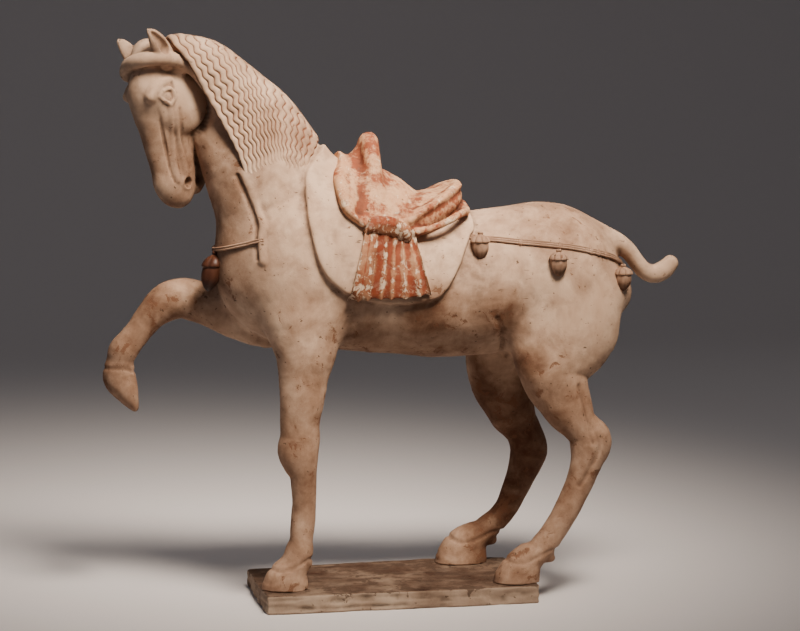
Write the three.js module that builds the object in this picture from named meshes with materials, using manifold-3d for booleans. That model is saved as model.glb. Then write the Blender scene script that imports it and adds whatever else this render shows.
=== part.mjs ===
// A prancing horse of painted earthenware on its base slab, made for a tomb of the Tang period.
// Millimetres, +Z up. The horse faces -X with its left flank on -Y. The origin is on the slab's
// underside, in the horse's middle plane, near the slab's mid length.
import * as THREE from "three";
import Module from "manifold-3d";

const wasm = await Module();
wasm.setup();

// Driving dimensions
const figureHeight = 542; // from the soles of the hooves to the ear tips
const slabThickness = 18;
const clearance = 0.3; // between pieces that were luted together with slip

// The pose and the carving are drawn for a figure 542 mm tall and follow figureHeight.
const drawnHeight = 542;
const scale = figureHeight / drawnHeight;

// How fine the clay forms are cut, and how many flat faces each one keeps
const bodyStep = 3.6 * scale;
const smallStep = 3 * scale;
const bodyFaces = 5000;
const horseFaces = 5700;
const saddleFaces = 760;
const tailFaces = 130;

const clay = (colour, roughness) =>
  new THREE.MeshStandardMaterial({ color: colour, roughness, metalness: 0 });
const slipOverClay = clay(0xd8c5ae, 0.82);
const bareClay = clay(0x957257, 0.9);
const redPigment = clay(0xc68a68, 0.85);
const dirtySlip = clay(0xb89c80, 0.85);
const brownPaint = clay(0x6a4431, 0.55);

// Forms are signed distances, negative inside. A point further than reach from a form's box
// takes the distance to the box.
const reach = 30 * scale;

function boxDistance(box, x, y, z) {
  const dx = Math.max(box.min.x - x, 0, x - box.max.x);
  const dy = Math.max(box.min.y - y, 0, y - box.max.y);
  const dz = Math.max(box.min.z - z, 0, z - box.max.z);
  return Math.sqrt(dx * dx + dy * dy + dz * dz);
}

function form(box, exact) {
  const distance = (x, y, z) => {
    const away = boxDistance(box, x, y, z);
    return away > reach ? away : exact(x, y, z);
  };
  return { box, distance };
}

function smoothMin(a, b, fillet) {
  const near = Math.max(fillet - Math.abs(a - b), 0) / fillet;
  return Math.min(a, b) - (near * near * fillet) / 4;
}

// Joins forms with a fillet, as a thumb does in wet clay.
function join(fillet, ...forms) {
  const box = new THREE.Box3();
  forms.forEach((part) => box.union(part.box));
  return form(box, (x, y, z) =>
    forms.reduce((nearest, part) => smoothMin(nearest, part.distance(x, y, z), fillet * scale), 1e3),
  );
}

function carve(fillet, body, ...tools) {
  const cut = (d, tool, x, y, z) => -smoothMin(-d, tool.distance(x, y, z), fillet * scale);
  return form(body.box, (x, y, z) =>
    tools.reduce((d, tool) => cut(d, tool, x, y, z), body.distance(x, y, z)),
  );
}

// A limb: rows of [x, y, z, half depth seen from the side, half width], along a smooth
// centreline. across is the direction of its width.
function limb(rows, across = new THREE.Vector3(0, 1, 0)) {
  const stepsPerRow = 4;
  const row = (i) => rows[Math.min(Math.max(i, 0), rows.length - 1)];
  const smooth = (i, t, c) => {
    const [a, b, d, e] = [row(i - 1)[c], row(i)[c], row(i + 1)[c], row(i + 2)[c]];
    const bend = (2 * a - 5 * b + 4 * d - e) * t * t + (3 * b - a - 3 * d + e) * t * t * t;
    return 0.5 * (2 * b + (d - a) * t + bend);
  };
  const stations = [];
  for (let i = 0; i < rows.length - 1; i++)
    for (let s = 0; s < stepsPerRow; s++)
      stations.push([0, 1, 2, 3, 4].map((c) => scale * smooth(i, s / stepsPerRow, c)));
  stations.push(row(rows.length - 1).map((value) => value * scale));
  const box = new THREE.Box3();
  for (const [x, y, z, depth, width] of stations) {
    const r = Math.max(depth, width);
    box.expandByPoint(new THREE.Vector3(x + r, y + r, z + r));
    box.expandByPoint(new THREE.Vector3(x - r, y - r, z - r));
  }
  const bones = stations.slice(1).map((to, i) => {
    const from = stations[i];
    const run = to.map((value, c) => value - from[c]);
    return { from, run, length2: run[0] ** 2 + run[1] ** 2 + run[2] ** 2 };
  });
  return form(box, (x, y, z) => {
    let nearest = Infinity;
    for (const { from, run, length2 } of bones) {
      let dx = x - from[0];
      let dy = y - from[1];
      let dz = z - from[2];
      const t = Math.min(Math.max((dx * run[0] + dy * run[1] + dz * run[2]) / length2, 0), 1);
      dx -= t * run[0];
      dy -= t * run[1];
      dz -= t * run[2];
      const depth = from[3] + t * run[3];
      const width = from[4] + t * run[4];
      const side = dx * across.x + dy * across.y + dz * across.z;
      const u2 = Math.max(dx * dx + dy * dy + dz * dz - side * side, 0) / (depth * depth);
      const v2 = (side * side) / (width * width);
      const k0 = Math.sqrt(u2 + v2);
      const k1 = Math.sqrt(u2 / (depth * depth) + v2 / (width * width));
      nearest = Math.min(nearest, k1 > 1e-9 ? (k0 * (k0 - 1)) / k1 : -Math.min(depth, width));
    }
    return nearest;
  });
}

// An egg of three half-axes, pitched about Y and then turned about Z, in degrees.
function egg([x0, y0, z0], halfAxes, pitch = 0, turn = 0) {
  const centre = new THREE.Vector3(x0, y0, z0).multiplyScalar(scale);
  const half = new THREE.Vector3(...halfAxes).multiplyScalar(scale);
  const r = Math.max(half.x, half.y, half.z);
  const box = new THREE.Box3(centre.clone().subScalar(r), centre.clone().addScalar(r));
  const spin = new THREE.Matrix4().makeRotationZ(THREE.MathUtils.degToRad(turn));
  spin.multiply(new THREE.Matrix4().makeRotationY(THREE.MathUtils.degToRad(pitch)));
  const e = spin.elements;
  return form(box, (x, y, z) => {
    const dx = x - centre.x;
    const dy = y - centre.y;
    const dz = z - centre.z;
    const u = (e[0] * dx + e[1] * dy + e[2] * dz) / half.x;
    const v = (e[4] * dx + e[5] * dy + e[6] * dz) / half.y;
    const w = (e[8] * dx + e[9] * dy + e[10] * dz) / half.z;
    const k0 = Math.sqrt(u * u + v * v + w * w);
    const k1 = Math.hypot(u / half.x, v / half.y, w / half.z);
    return k1 > 1e-9 ? (k0 * (k0 - 1)) / k1 : -Math.min(half.x, half.y, half.z);
  });
}

// A form thickened inside an outline of [x, z] points in the side view.
function layer(under, thickness, outline, fillet) {
  const loop = outline.map(([x, z]) => [x * scale, z * scale]);
  const beyond = (x, z) => {
    let nearest = Infinity;
    let within = false;
    loop.forEach(([x1, z1], i) => {
      const [x2, z2] = loop[(i + 1) % loop.length];
      const [ex, ez] = [x2 - x1, z2 - z1];
      const t = Math.min(Math.max(((x - x1) * ex + (z - z1) * ez) / (ex * ex + ez * ez), 0), 1);
      nearest = Math.min(nearest, (x - x1 - t * ex) ** 2 + (z - z1 - t * ez) ** 2);
      if (z1 > z !== z2 > z && x < x1 + (ex * (z - z1)) / ez) within = !within;
    });
    return within ? -Math.sqrt(nearest) : Math.sqrt(nearest);
  };
  const box = new THREE.Box3();
  loop.forEach(([x, z]) => {
    box.expandByPoint(new THREE.Vector3(x, under.box.min.y - thickness * scale, z));
    box.expandByPoint(new THREE.Vector3(x, under.box.max.y + thickness * scale, z));
  });
  return form(box, (x, y, z) => {
    const above = under.distance(x, y, z) - thickness * scale;
    return above > reach ? above : -smoothMin(-above, -beyond(x, z), fillet * scale);
  });
}

function gradient(shape, { x, y, z }) {
  const e = 0.4 * scale;
  return new THREE.Vector3(
    shape.distance(x + e, y, z) - shape.distance(x - e, y, z),
    shape.distance(x, y + e, z) - shape.distance(x, y - e, z),
    shape.distance(x, y, z + e) - shape.distance(x, y, z - e),
  ).divideScalar(2 * e);
}

// Moves a point to a height over a form's surface, at most furthest at a time.
function settle(shape, point, height = 0, tries = 12, furthest = 6 * scale) {
  const settled = point.clone();
  for (let i = 0; i < tries; i++) {
    const slope = gradient(shape, settled);
    const off = shape.distance(settled.x, settled.y, settled.z) - height;
    const move = THREE.MathUtils.clamp(off / Math.max(slope.lengthSq(), 0.3), -furthest, furthest);
    settled.addScaledVector(slope, -move);
  }
  return settled;
}

// The point of a form's flank behind a place [x, z] of the side view. side is -1 for the near
// flank and 1 for the far one.
function onFlank(shape, [x, z], side, height = 0) {
  let inside = 0;
  let outside = side * 110 * scale;
  const at = (y) => shape.distance(x * scale, y, z * scale);
  if (at(0) > -2 * scale) {
    const beside = new THREE.Vector3(x, side * 2, z).multiplyScalar(scale);
    return settle(shape, beside, height);
  }
  for (let i = 0; i < 24; i++) {
    const middle = (inside + outside) / 2;
    if (at(middle) < 0) inside = middle;
    else outside = middle;
  }
  const point = new THREE.Vector3(x * scale, inside, z * scale);
  return point.addScaledVector(gradient(shape, point).normalize(), height);
}

// Cuts a form into a closed skin of small triangles: each cube of the grid is split in six
// tetrahedra around its long diagonal.
function skin(shape, step) {
  const low = shape.box.min.clone().subScalar(1.5 * step);
  const count = shape.box.max.clone().sub(low).divideScalar(step).ceil().addScalar(3);
  const [nx, ny, nz] = [count.x, count.y, count.z];
  const values = new Float32Array(nx * ny * nz);
  const at = (i, j, k) => shape.distance(low.x + i * step, low.y + j * step, low.z + k * step) || 1e-6;
  const block = 5;
  const farAway = 1.6 * block * step;
  for (let k0 = 0; k0 < nz; k0 += block)
    for (let j0 = 0; j0 < ny; j0 += block)
      for (let i0 = 0; i0 < nx; i0 += block) {
        const middle = at(i0 + block / 2, j0 + block / 2, k0 + block / 2);
        for (let k = k0; k < Math.min(k0 + block, nz); k++)
          for (let j = j0; j < Math.min(j0 + block, ny); j++)
            for (let i = i0; i < Math.min(i0 + block, nx); i++)
              values[i + nx * (j + ny * k)] = Math.abs(middle) > farAway ? middle : at(i, j, k);
      }
  const corner = (c) => (c & 1) + ((c >> 1) & 1) * nx + ((c >> 2) & 1) * nx * ny;
  const ridges = [[1, 3], [3, 2], [2, 6], [6, 4], [4, 5], [5, 1]];
  const tetrahedra = ridges.map(([a, b]) => [0, a, b, 7].map(corner));
  const place = (n) => {
    const cell = new THREE.Vector3(n % nx, Math.floor(n / nx) % ny, Math.floor(n / (nx * ny)));
    return cell.multiplyScalar(step).add(low);
  };
  const points = [];
  const faces = [];
  const made = new Map();
  const crossing = (inside, outside) => {
    const key = Math.min(inside, outside) * nx * ny * nz + Math.max(inside, outside);
    if (!made.has(key)) {
      const t = THREE.MathUtils.clamp(values[inside] / (values[inside] - values[outside]), 0.05, 0.95);
      made.set(key, points.push(place(inside).lerp(place(outside), t)) - 1);
    }
    return made.get(key);
  };
  const addFace = (a, b, c, inside, outside) => {
    const outward = new THREE.Vector3();
    outside.forEach((n) => outward.addScaledVector(place(n), 1 / outside.length));
    inside.forEach((n) => outward.addScaledVector(place(n), -1 / inside.length));
    const facing = normalOf(points[a], points[b], points[c]).dot(outward);
    faces.push(facing > 0 ? [a, b, c] : [a, c, b]);
  };
  for (let k = 0; k < nz - 1; k++)
    for (let j = 0; j < ny - 1; j++)
      for (let i = 0; i < nx - 1; i++) {
        const base = i + nx * (j + ny * k);
        let below = 0;
        for (let c = 0; c < 8; c++) below += values[base + corner(c)] < 0;
        if (below === 0 || below === 8) continue;
        for (const tetrahedron of tetrahedra) {
          const inside = tetrahedron.map((c) => base + c).filter((n) => values[n] < 0);
          const outside = tetrahedron.map((c) => base + c).filter((n) => values[n] >= 0);
          if (inside.length === 0 || outside.length === 0) continue;
          if (inside.length === 2) {
            const [a, b] = inside;
            const [c, d] = outside;
            const ring = [crossing(a, c), crossing(a, d), crossing(b, d), crossing(b, c)];
            addFace(ring[0], ring[1], ring[2], inside, outside);
            addFace(ring[0], ring[2], ring[3], inside, outside);
          } else {
            const ring = inside.flatMap((a) => outside.map((b) => crossing(a, b)));
            addFace(ring[0], ring[1], ring[2], inside, outside);
          }
        }
      }
  return { points: points.map((point) => settle(shape, point, 0, 2, step / 5)), faces };
}

function normalOf(a, b, c) {
  return new THREE.Vector3().crossVectors(b.clone().sub(a), c.clone().sub(a));
}

// The squared distance to a set of planes, as the ten numbers of a symmetric matrix
class PlaneSum {
  constructor(terms = new Float64Array(10)) {
    this.terms = terms;
  }
  addPlane({ x, y, z }, d, weight) {
    const products = [x * x, x * y, x * z, x * d, y * y, y * z, y * d, z * z, z * d, d * d];
    products.forEach((value, i) => (this.terms[i] += value * weight));
  }
  plus(other) {
    return new PlaneSum(this.terms.map((value, i) => value + other.terms[i]));
  }
  at({ x, y, z }) {
    const m = this.terms;
    const squares = m[0] * x * x + m[4] * y * y + m[7] * z * z + m[9];
    return squares + 2 * (m[1] * x * y + m[2] * x * z + m[3] * x + m[5] * y * z + m[6] * y + m[8] * z);
  }
  lowest(otherwise) {
    const m = this.terms;
    const matrix = new THREE.Matrix3(m[0], m[1], m[2], m[1], m[4], m[5], m[2], m[5], m[7]);
    if (Math.abs(matrix.determinant()) < 1e-4 * (m[0] + m[4] + m[7]) ** 3) return otherwise;
    return new THREE.Vector3(-m[3], -m[6], -m[8]).applyMatrix3(matrix.invert());
  }
}

// Draws a skin's triangles together, flattest places first, until the wanted number is left.
function reduce({ points, faces }, wanted) {
  const sums = points.map(() => new PlaneSum());
  const around = points.map(() => new Set());
  faces.forEach((face, f) => {
    const normal = normalOf(...face.map((v) => points[v]));
    const area = normal.length();
    normal.divideScalar(area || 1);
    const d = -normal.dot(points[face[0]]);
    face.forEach((v) => {
      sums[v].addPlane(normal, d, area);
      around[v].add(f);
    });
  });
  const changes = new Uint32Array(points.length);
  const heap = [];
  const push = (entry) => {
    let i = heap.push(entry) - 1;
    while (i > 0) {
      const up = (i - 1) >> 1;
      if (heap[up].cost <= entry.cost) break;
      heap[i] = heap[up];
      i = up;
    }
    heap[i] = entry;
  };
  const pop = () => {
    const top = heap[0];
    const last = heap.pop();
    if (heap.length === 0) return top;
    let i = 0;
    for (;;) {
      let child = 2 * i + 1;
      if (child + 1 < heap.length && heap[child + 1].cost < heap[child].cost) child++;
      if (child >= heap.length || heap[child].cost >= last.cost) break;
      heap[i] = heap[child];
      i = child;
    }
    heap[i] = last;
    return top;
  };
  const consider = (a, b) => {
    const sum = sums[a].plus(sums[b]);
    const middle = points[a].clone().lerp(points[b], 0.5);
    const span = points[a].distanceTo(points[b]);
    let target = sum.lowest(middle);
    if (target.distanceTo(middle) > 1.2 * span) target = middle;
    const cost = sum.at(target) + 1e-4 * span ** 3;
    push({ a, b, target, sum, cost, seenA: changes[a], seenB: changes[b] });
  };
  const neighbours = (v) => {
    const found = new Set();
    for (const f of around[v]) for (const n of faces[f]) if (n !== v) found.add(n);
    return found;
  };
  const spoils = (v, other, target) => {
    for (const f of around[v]) {
      if (faces[f].includes(other)) continue;
      const after = faces[f].map((n) => (n === v ? target : points[n]));
      const was = normalOf(...faces[f].map((n) => points[n]));
      const is = normalOf(...after);
      if (was.dot(is) < 0.3 * was.length() * is.length()) return true;
      const longest = Math.max(...after.map((p, i) => p.distanceToSquared(after[(i + 1) % 3])));
      const thin = 0.05 * longest;
      if (is.length() < thin && is.length() < was.length()) return true;
    }
    return false;
  };
  for (let v = 0; v < points.length; v++) for (const n of neighbours(v)) if (v < n) consider(v, n);
  let left = faces.length;
  while (left > wanted && heap.length) {
    const { a, b, target, sum, seenA, seenB } = pop();
    if (changes[a] !== seenA || changes[b] !== seenB) continue;
    const beside = neighbours(a);
    const shared = [...neighbours(b)].filter((n) => beside.has(n));
    if (shared.length !== 2 || spoils(a, b, target) || spoils(b, a, target)) continue;
    for (const f of around[b]) {
      if (faces[f].includes(a)) {
        faces[f].forEach((n) => n !== b && around[n].delete(f));
        faces[f] = null;
        left--;
      } else {
        faces[f][faces[f].indexOf(b)] = a;
        around[a].add(f);
      }
    }
    around[b].clear();
    points[a] = target;
    sums[a] = sum;
    changes[a]++;
    changes[b]++;
    for (const n of neighbours(a)) consider(a, n);
  }
  const kept = faces.filter(Boolean);
  const numbers = new Map();
  kept.forEach((face) => face.forEach((v) => numbers.has(v) || numbers.set(v, numbers.size)));
  return {
    points: [...numbers.keys()].map((v) => points[v]),
    faces: kept.map((face) => face.map((v) => numbers.get(v))),
  };
}

// A closed skin over rings of points. The first and last ring are closed by strips between
// their two halves, unless the rings themselves run in a circle.
function wrap(rings, circle = false) {
  const size = rings[0].length;
  const points = rings.flat();
  const faces = [];
  const quad = (a, b, c, d) => faces.push([a, b, c], [a, c, d]);
  const last = rings.length - 1;
  for (let r = 0; r < (circle ? rings.length : last); r++)
    for (let i = 0; i < size; i++) {
      const [here, next] = [r * size, ((r + 1) % rings.length) * size];
      const j = (i + 1) % size;
      quad(here + i, here + j, next + j, next + i);
    }
  if (!circle)
    for (const [start, flip] of [[0, true], [last * size, false]])
      for (let i = 0; i < size / 2 - 1; i++) {
        const strip = [i, i + 1, size - 2 - i, size - 1 - i].map((n) => start + n);
        quad(...(flip ? strip.reverse() : strip));
      }
  const volume = faces.reduce((sum, [a, b, c]) => {
    return sum + points[a].dot(new THREE.Vector3().crossVectors(points[b], points[c]));
  }, 0);
  return { points, faces: volume < 0 ? faces.map(([a, b, c]) => [a, c, b]) : faces };
}

function solid({ points, faces }) {
  const vertProperties = new Float32Array(points.flatMap((point) => point.toArray()));
  const triVerts = new Uint32Array(faces.flat());
  return new wasm.Manifold(new wasm.Mesh({ numProp: 3, vertProperties, triVerts }));
}

function skinOf(body) {
  const { vertProperties, triVerts, numProp } = body.getMesh();
  const points = [];
  for (let i = 0; i < vertProperties.length; i += numProp)
    points.push(new THREE.Vector3().fromArray(vertProperties, i));
  const faces = [];
  for (let i = 0; i < triVerts.length; i += 3) faces.push([...triVerts.subarray(i, i + 3)]);
  return { points, faces };
}

// The same body with every face moved outward by the clearance
function grown(body) {
  const { points, faces } = skinOf(body);
  const normals = points.map(() => new THREE.Vector3());
  faces.forEach((face) => {
    const normal = normalOf(...face.map((v) => points[v]));
    face.forEach((v) => normals[v].add(normal));
  });
  const moved = points.map((point, v) => point.clone().addScaledVector(normals[v].normalize(), clearance));
  return solid({ points: moved, faces });
}

function piece(name, body, material, height) {
  const { points, faces } = skinOf(body);
  const geometry = new THREE.BufferGeometry();
  geometry.setAttribute("position", new THREE.Float32BufferAttribute(points.flatMap((p) => p.toArray()), 3));
  geometry.setIndex(faces.flat());
  const mesh = new THREE.Mesh(geometry, material);
  mesh.name = name;
  mesh.position.z = height;
  return mesh;
}

// The head is turned to the near side. Its places are [forward, sideways, height]: forward
// along the face, sideways to its left, measured from between the eyes.
const headTurn = THREE.MathUtils.degToRad(30);
const headLeft = new THREE.Vector3(Math.sin(headTurn), -Math.cos(headTurn), 0);
const headFront = new THREE.Vector3(-Math.cos(headTurn), -Math.sin(headTurn), 0);
const headCentre = new THREE.Vector3(-250, -16, 0);

function onHead([forward, sideways, height]) {
  const point = headCentre.clone().addScaledVector(headFront, forward).addScaledVector(headLeft, sideways);
  return [point.x, point.y, height];
}

const headLimb = (rows) => limb(rows.map((row) => [...onHead(row), row[3], row[4]]), headLeft);
const headEgg = (place, halfAxes, pitch = 0) => egg(onHead(place), halfAxes, pitch, 30);
const mirrored = (rows) => rows.map(([x, y, ...rest]) => [x, -y, ...rest]);

// Barrel, breast and rump
const torso = join(
  16,
  limb([
    [-114, 0, 306, 56, 46],
    [-92, 0, 316, 80, 55],
    [-50, 0, 317, 87, 61],
    [-26, 0, 304, 77, 61],
    [7, 0, 295, 73, 61],
    [61, 0, 291, 71, 59],
    [114, 0, 296, 72, 59],
    [150, 0, 300, 71, 60],
  ]),
  egg([162, 0, 301], [70, 59, 65]),
  egg([193, 0, 277], [53, 50, 35], -10),
);

// The throat draws in behind the near cheek.
const throatHollow = limb([
  [-197, -17, 496, 7, 14],
  [-189, -14, 481, 9, 19],
  [-184, -13, 466, 9, 20],
  [-186, -12, 451, 7, 16],
  [-193, -10, 439, 5, 10],
]);
const neck = carve(
  6,
  limb([
    [-101, 0, 352, 62, 46],
    [-113.5, 0, 382, 61, 42],
    [-127.5, 0, 412, 56, 34],
    [-141, 3, 439, 50, 27],
    [-153, 7, 461, 41, 22],
    [-166, 9, 483, 32, 20],
    [-184, 5, 502, 26.5, 19],
    [-206, -4, 512, 21, 18],
  ]),
  throatHollow,
);

const shoulders = [-1, 1].map((side) => egg([-94, 30 * side, 300], [40, 27, 66], -12));
const thighs = [
  egg([170, -30, 268], [52, 29, 66], 14),
  egg([146, 31, 262], [50, 28, 60], 18),
];

const nearForeleg = limb([
  [-92, -34, 261, 38, 25],
  [-90, -36, 234, 30, 22],
  [-92, -36, 213, 25, 19],
  [-94, -36, 185, 21.5, 16.5],
  [-96, -35, 164, 19.5, 15.5],
  [-96, -34, 148, 19.5, 16.5],
  [-98, -34, 136, 20, 17.5],
  [-96, -34, 125, 17, 16],
  [-93, -34, 112, 13, 13],
  [-92, -33, 87, 11.8, 11.5],
  [-93, -33, 67, 12.2, 11.5],
  [-95, -33, 47, 11.5, 12.5],
  [-97, -33, 36, 13.5, 14],
  [-101, -33, 25, 13, 14],
]);
const nearHindleg = limb([
  [169, -34, 250, 55, 28],
  [160.5, -36, 232, 45.5, 27],
  [153, -38, 212, 32, 25],
  [159, -39, 198, 31.5, 22],
  [164, -40, 186, 28, 20],
  [171.5, -41, 170, 24, 18],
  [179.5, -42, 157, 18.5, 16.5],
  [189, -43, 146, 18.5, 15.5],
  [194, -44, 136, 21, 15.5],
  [190, -45, 120, 16.5, 14],
  [184, -45, 101, 14, 12.5],
  [176, -45, 83, 13, 11.5],
  [167, -46, 66, 12.6, 11.5],
  [157, -46, 50, 12.2, 12],
  [146.5, -46, 36, 12.5, 13],
  [137, -46, 26, 12, 13.5],
]);
const farHindleg = limb([
  [136, 36, 241, 45, 28],
  [122, 40, 219, 36, 26],
  [124, 43, 191, 32.5, 22],
  [131, 46, 170, 27, 19],
  [136, 48, 156, 24, 17.5],
  [142, 50, 146, 20.5, 16],
  [150, 52, 134, 18.5, 15.5],
  [156, 54, 117, 19, 15.5],
  [154, 56, 104, 17.5, 14.5],
  [149, 57, 90, 15, 13],
  [142, 58, 73, 13.4, 12],
  [135, 59, 57, 11.8, 11.5],
  [126, 60, 45, 11.5, 12],
  [114, 60, 35, 12.5, 13],
  [103, 60, 26, 12, 13.5],
]);
const raisedForeleg = limb([
  [-120, 28, 265, 36, 25],
  [-149, 34, 267, 27.5, 23],
  [-173, 37, 272.5, 22, 20],
  [-187, 38, 276, 20.5, 18],
  [-200, 39, 279, 20, 17.5],
  [-211, 39, 277.5, 19.5, 17.5],
  [-220, 39, 273, 18, 16],
  [-229, 39, 266, 15.5, 14],
  [-237, 39, 257, 14, 12],
  [-245, 39, 247, 13, 11.5],
  [-253, 39, 237.5, 13.5, 12.5],
  [-260, 39, 228, 14.5, 14],
  [-264, 39, 216, 11.5, 12],
]);

const fetlockSpurs = [
  egg([-92, -33, 25], [8, 5, 6], 20),
  egg([149, -46, 24], [9, 6, 6], 20),
  egg([115, 60, 23], [9, 6, 6], 20),
];

// Each hoof flares from the coronet to a flat sole.
const hooves = [
  limb([
    [-101.5, -33, 22, 12.5, 13.5],
    [-108, -33, 12, 18, 16.5],
    [-111, -33, 1, 23, 19],
  ]),
  limb([
    [129, -46, 24, 14, 13.5],
    [123, -46, 13, 19, 16.5],
    [118, -46, 1, 23, 18],
  ]),
  limb([
    [98, 60, 26, 15, 13.5],
    [90, 60, 15, 22, 16.5],
    [86, 60, 1, 27, 18.5],
  ]),
  limb([
    [-264, 39, 208, 15.5, 13],
    [-263, 39, 200, 16, 13.5],
    [-257, 39, 188, 11.5, 13],
    [-251.5, 39, 177, 6.5, 10],
    [-249, 39, 172, 4, 8],
  ]),
];

const skull = headLimb([
  [-24, 0, 516, 17, 16],
  [-27, 0, 501, 27, 19],
  [-31, 0, 486, 35, 21],
  [-33, 0, 472, 36, 21],
  [-34, 0, 459, 32, 20],
  [-36, 0, 446, 29, 18],
  [-39, 0, 430, 27, 15.5],
  [-43, 0, 411, 24.5, 14.5],
  [-46, 0, 396, 23.5, 15],
  [-49, 0, 385, 15, 13.5],
]);
const poll = headEgg([-15, 0, 513], [17, 17, 20]);
const forehead = headEgg([-15, 0, 480], [18, 24, 20]);
const cheeks = [-1, 1].map((side) => headEgg([-42, 17 * side, 471], [28.5, 10, 28.5]));
const brows = [-1, 1].map((side) =>
  headLimb([
    [-4, 19 * side, 477, 5, 5],
    [-9.5, 20.5 * side, 485, 4.8, 4.6],
    [-16, 20.5 * side, 490.5, 4, 3.8],
    [-24, 20.5 * side, 493, 3, 3],
  ]),
);
const eyes = [-1, 1].map((side) => headEgg([-19, 21.5 * side, 479], [8, 5.6, 7], 12));
const faceRidges = [-1, 1].flatMap((side) => [
  headLimb([
    [-23.5, 23.4 * side, 470, 2.6, 2.6],
    [-25.5, 21.8 * side, 457, 2.6, 2.6],
    [-30, 16.4 * side, 443, 2.6, 2.6],
    [-33, 13.8 * side, 429, 2.6, 2.6],
    [-35, 12.6 * side, 417, 2.6, 2.6],
    [-39, 13 * side, 397, 2.6, 2.6],
  ]),
  headLimb([
    [-30, 24 * side, 478, 2, 2],
    [-30, 24 * side, 465, 2.4, 2.4],
    [-32, 21.8 * side, 453, 2.6, 2.6],
    [-40, 14.6 * side, 430, 2.8, 2.8],
    [-46, 13.2 * side, 415, 2.8, 2.8],
    [-49, 12.8 * side, 403, 3, 3],
  ]),
]);
const nostrilRims = [-1, 1].map((side) => headEgg([-49, 13 * side, 395], [7, 4, 7.5]));
const nostrils = [-1, 1].map((side) => headEgg([-50.4, 16 * side, 395], [4.4, 6.5, 5]));
const jaw = headLimb([
  [-58, 0, 430, 8, 10],
  [-69, 0, 419, 5, 9],
  [-76, 0, 407, 4, 8.5],
  [-75, 0, 396, 3.8, 8.5],
  [-69, 0, 387, 4, 8.5],
]);
const mouth = [-1, 1].map((side) => headEgg([-68, 10 * side, 404], [5.5, 10, 14], 16));
const hairRoll = headLimb([
  [-62, 29, 488, 5.5, 5],
  [-52, 28.5, 499, 6, 5.5],
  [-40, 27, 508, 6.5, 6],
  [-26, 26, 513, 6.8, 6.5],
  [-13, 23, 514, 7, 6.5],
  [-3, 16, 513, 7, 6.5],
  [2, 7, 511, 7, 6.5],
  [3, -4, 508, 7, 6.5],
  [0, -13, 504, 7.5, 7],
  [-6, -20, 499, 8, 7.5],
  [-16, -24, 497, 7, 6],
]);
const farEarDrop = 9;
const ears = [-1, 1].map((side) => {
  const drop = side < 0 ? farEarDrop : 0;
  return headLimb([
    [-23, 19 * side, 511 - drop, 9, 6.5],
    [-18, 22 * side, 518.5 - drop, 9.6, 6],
    [-11, 23.5 * side, 527 - drop, 9, 5],
    [-4, 24.5 * side, 535 - drop, 6, 4],
    [1.5, 24.5 * side, 540 - drop, 3.2, 3],
  ]);
});
const earHollows = [-1, 1].map((side) => {
  const drop = side < 0 ? farEarDrop : 0;
  return headLimb([
    [-15.5, 28 * side, 523 - drop, 5.4, 5],
    [-10, 28.5 * side, 528.5 - drop, 4.8, 4.6],
    [-4, 28 * side, 534 - drop, 3, 3.4],
  ]);
});
const face = join(2, join(4, join(8, skull, forehead), ...cheeks, ...brows, jaw), hairRoll, poll);
const head = carve(
  1.5,
  join(2, face, ...eyes, ...faceRidges, ...nostrilRims, ...ears),
  ...nostrils,
  ...mouth,
  ...earHollows,
);

// A fold of flesh and a crease part the front plane of the neck from the shoulder.
const foldPath = [[-150, 404], [-143, 388], [-137, 370], [-133, 355], [-135, 343], [-134, 322]];
const creasePath = [[-155, 402], [-149, 387], [-143, 370], [-139, 355], [-140, 342], [-139, 324]];
const neckForm = join(22, torso, neck, ...shoulders);
const trunk = join(12, neckForm, ...thighs);
const linesOver = (path, height, radius) =>
  [-1, 1].map((side) => {
    const places = path.map((place) => onFlank(trunk, place, side, height).divideScalar(scale));
    return limb(places.map((place) => [...place.toArray(), radius, radius]));
  });
const folds = linesOver(foldPath, -1.6, 4);
const creases = linesOver(creasePath, 1, 2.4);

// The saddle blanket is one relief with the body.
const blanketOutline = [
  [-86, 411],
  [-91, 398],
  [-92, 381],
  [-91, 361],
  [-88, 343],
  [-83, 324],
  [-76, 309],
  [-66, 298],
  [-49, 287],
  [-12, 279],
  [29, 282],
  [42, 291],
  [50, 303],
  [57, 316],
  [64, 331],
  [70, 343],
  [76, 352],
  [76, 420],
  [-50, 470],
  [-60, 440],
];
const blanketThickness = 6;
const blanket = layer(trunk, blanketThickness, blanketOutline, 3);
const bellyVent = egg([-6, 0, 219], [45, 19, 13]);

const horseForm = carve(
  3,
  join(
    4,
    join(10, join(4, trunk, ...folds), nearForeleg, nearHindleg, farHindleg, raisedForeleg),
    join(2.5, head, neck),
    blanket,
    ...hooves,
    ...fetlockSpurs,
  ),
  bellyVent,
  ...creases,
);

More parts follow.
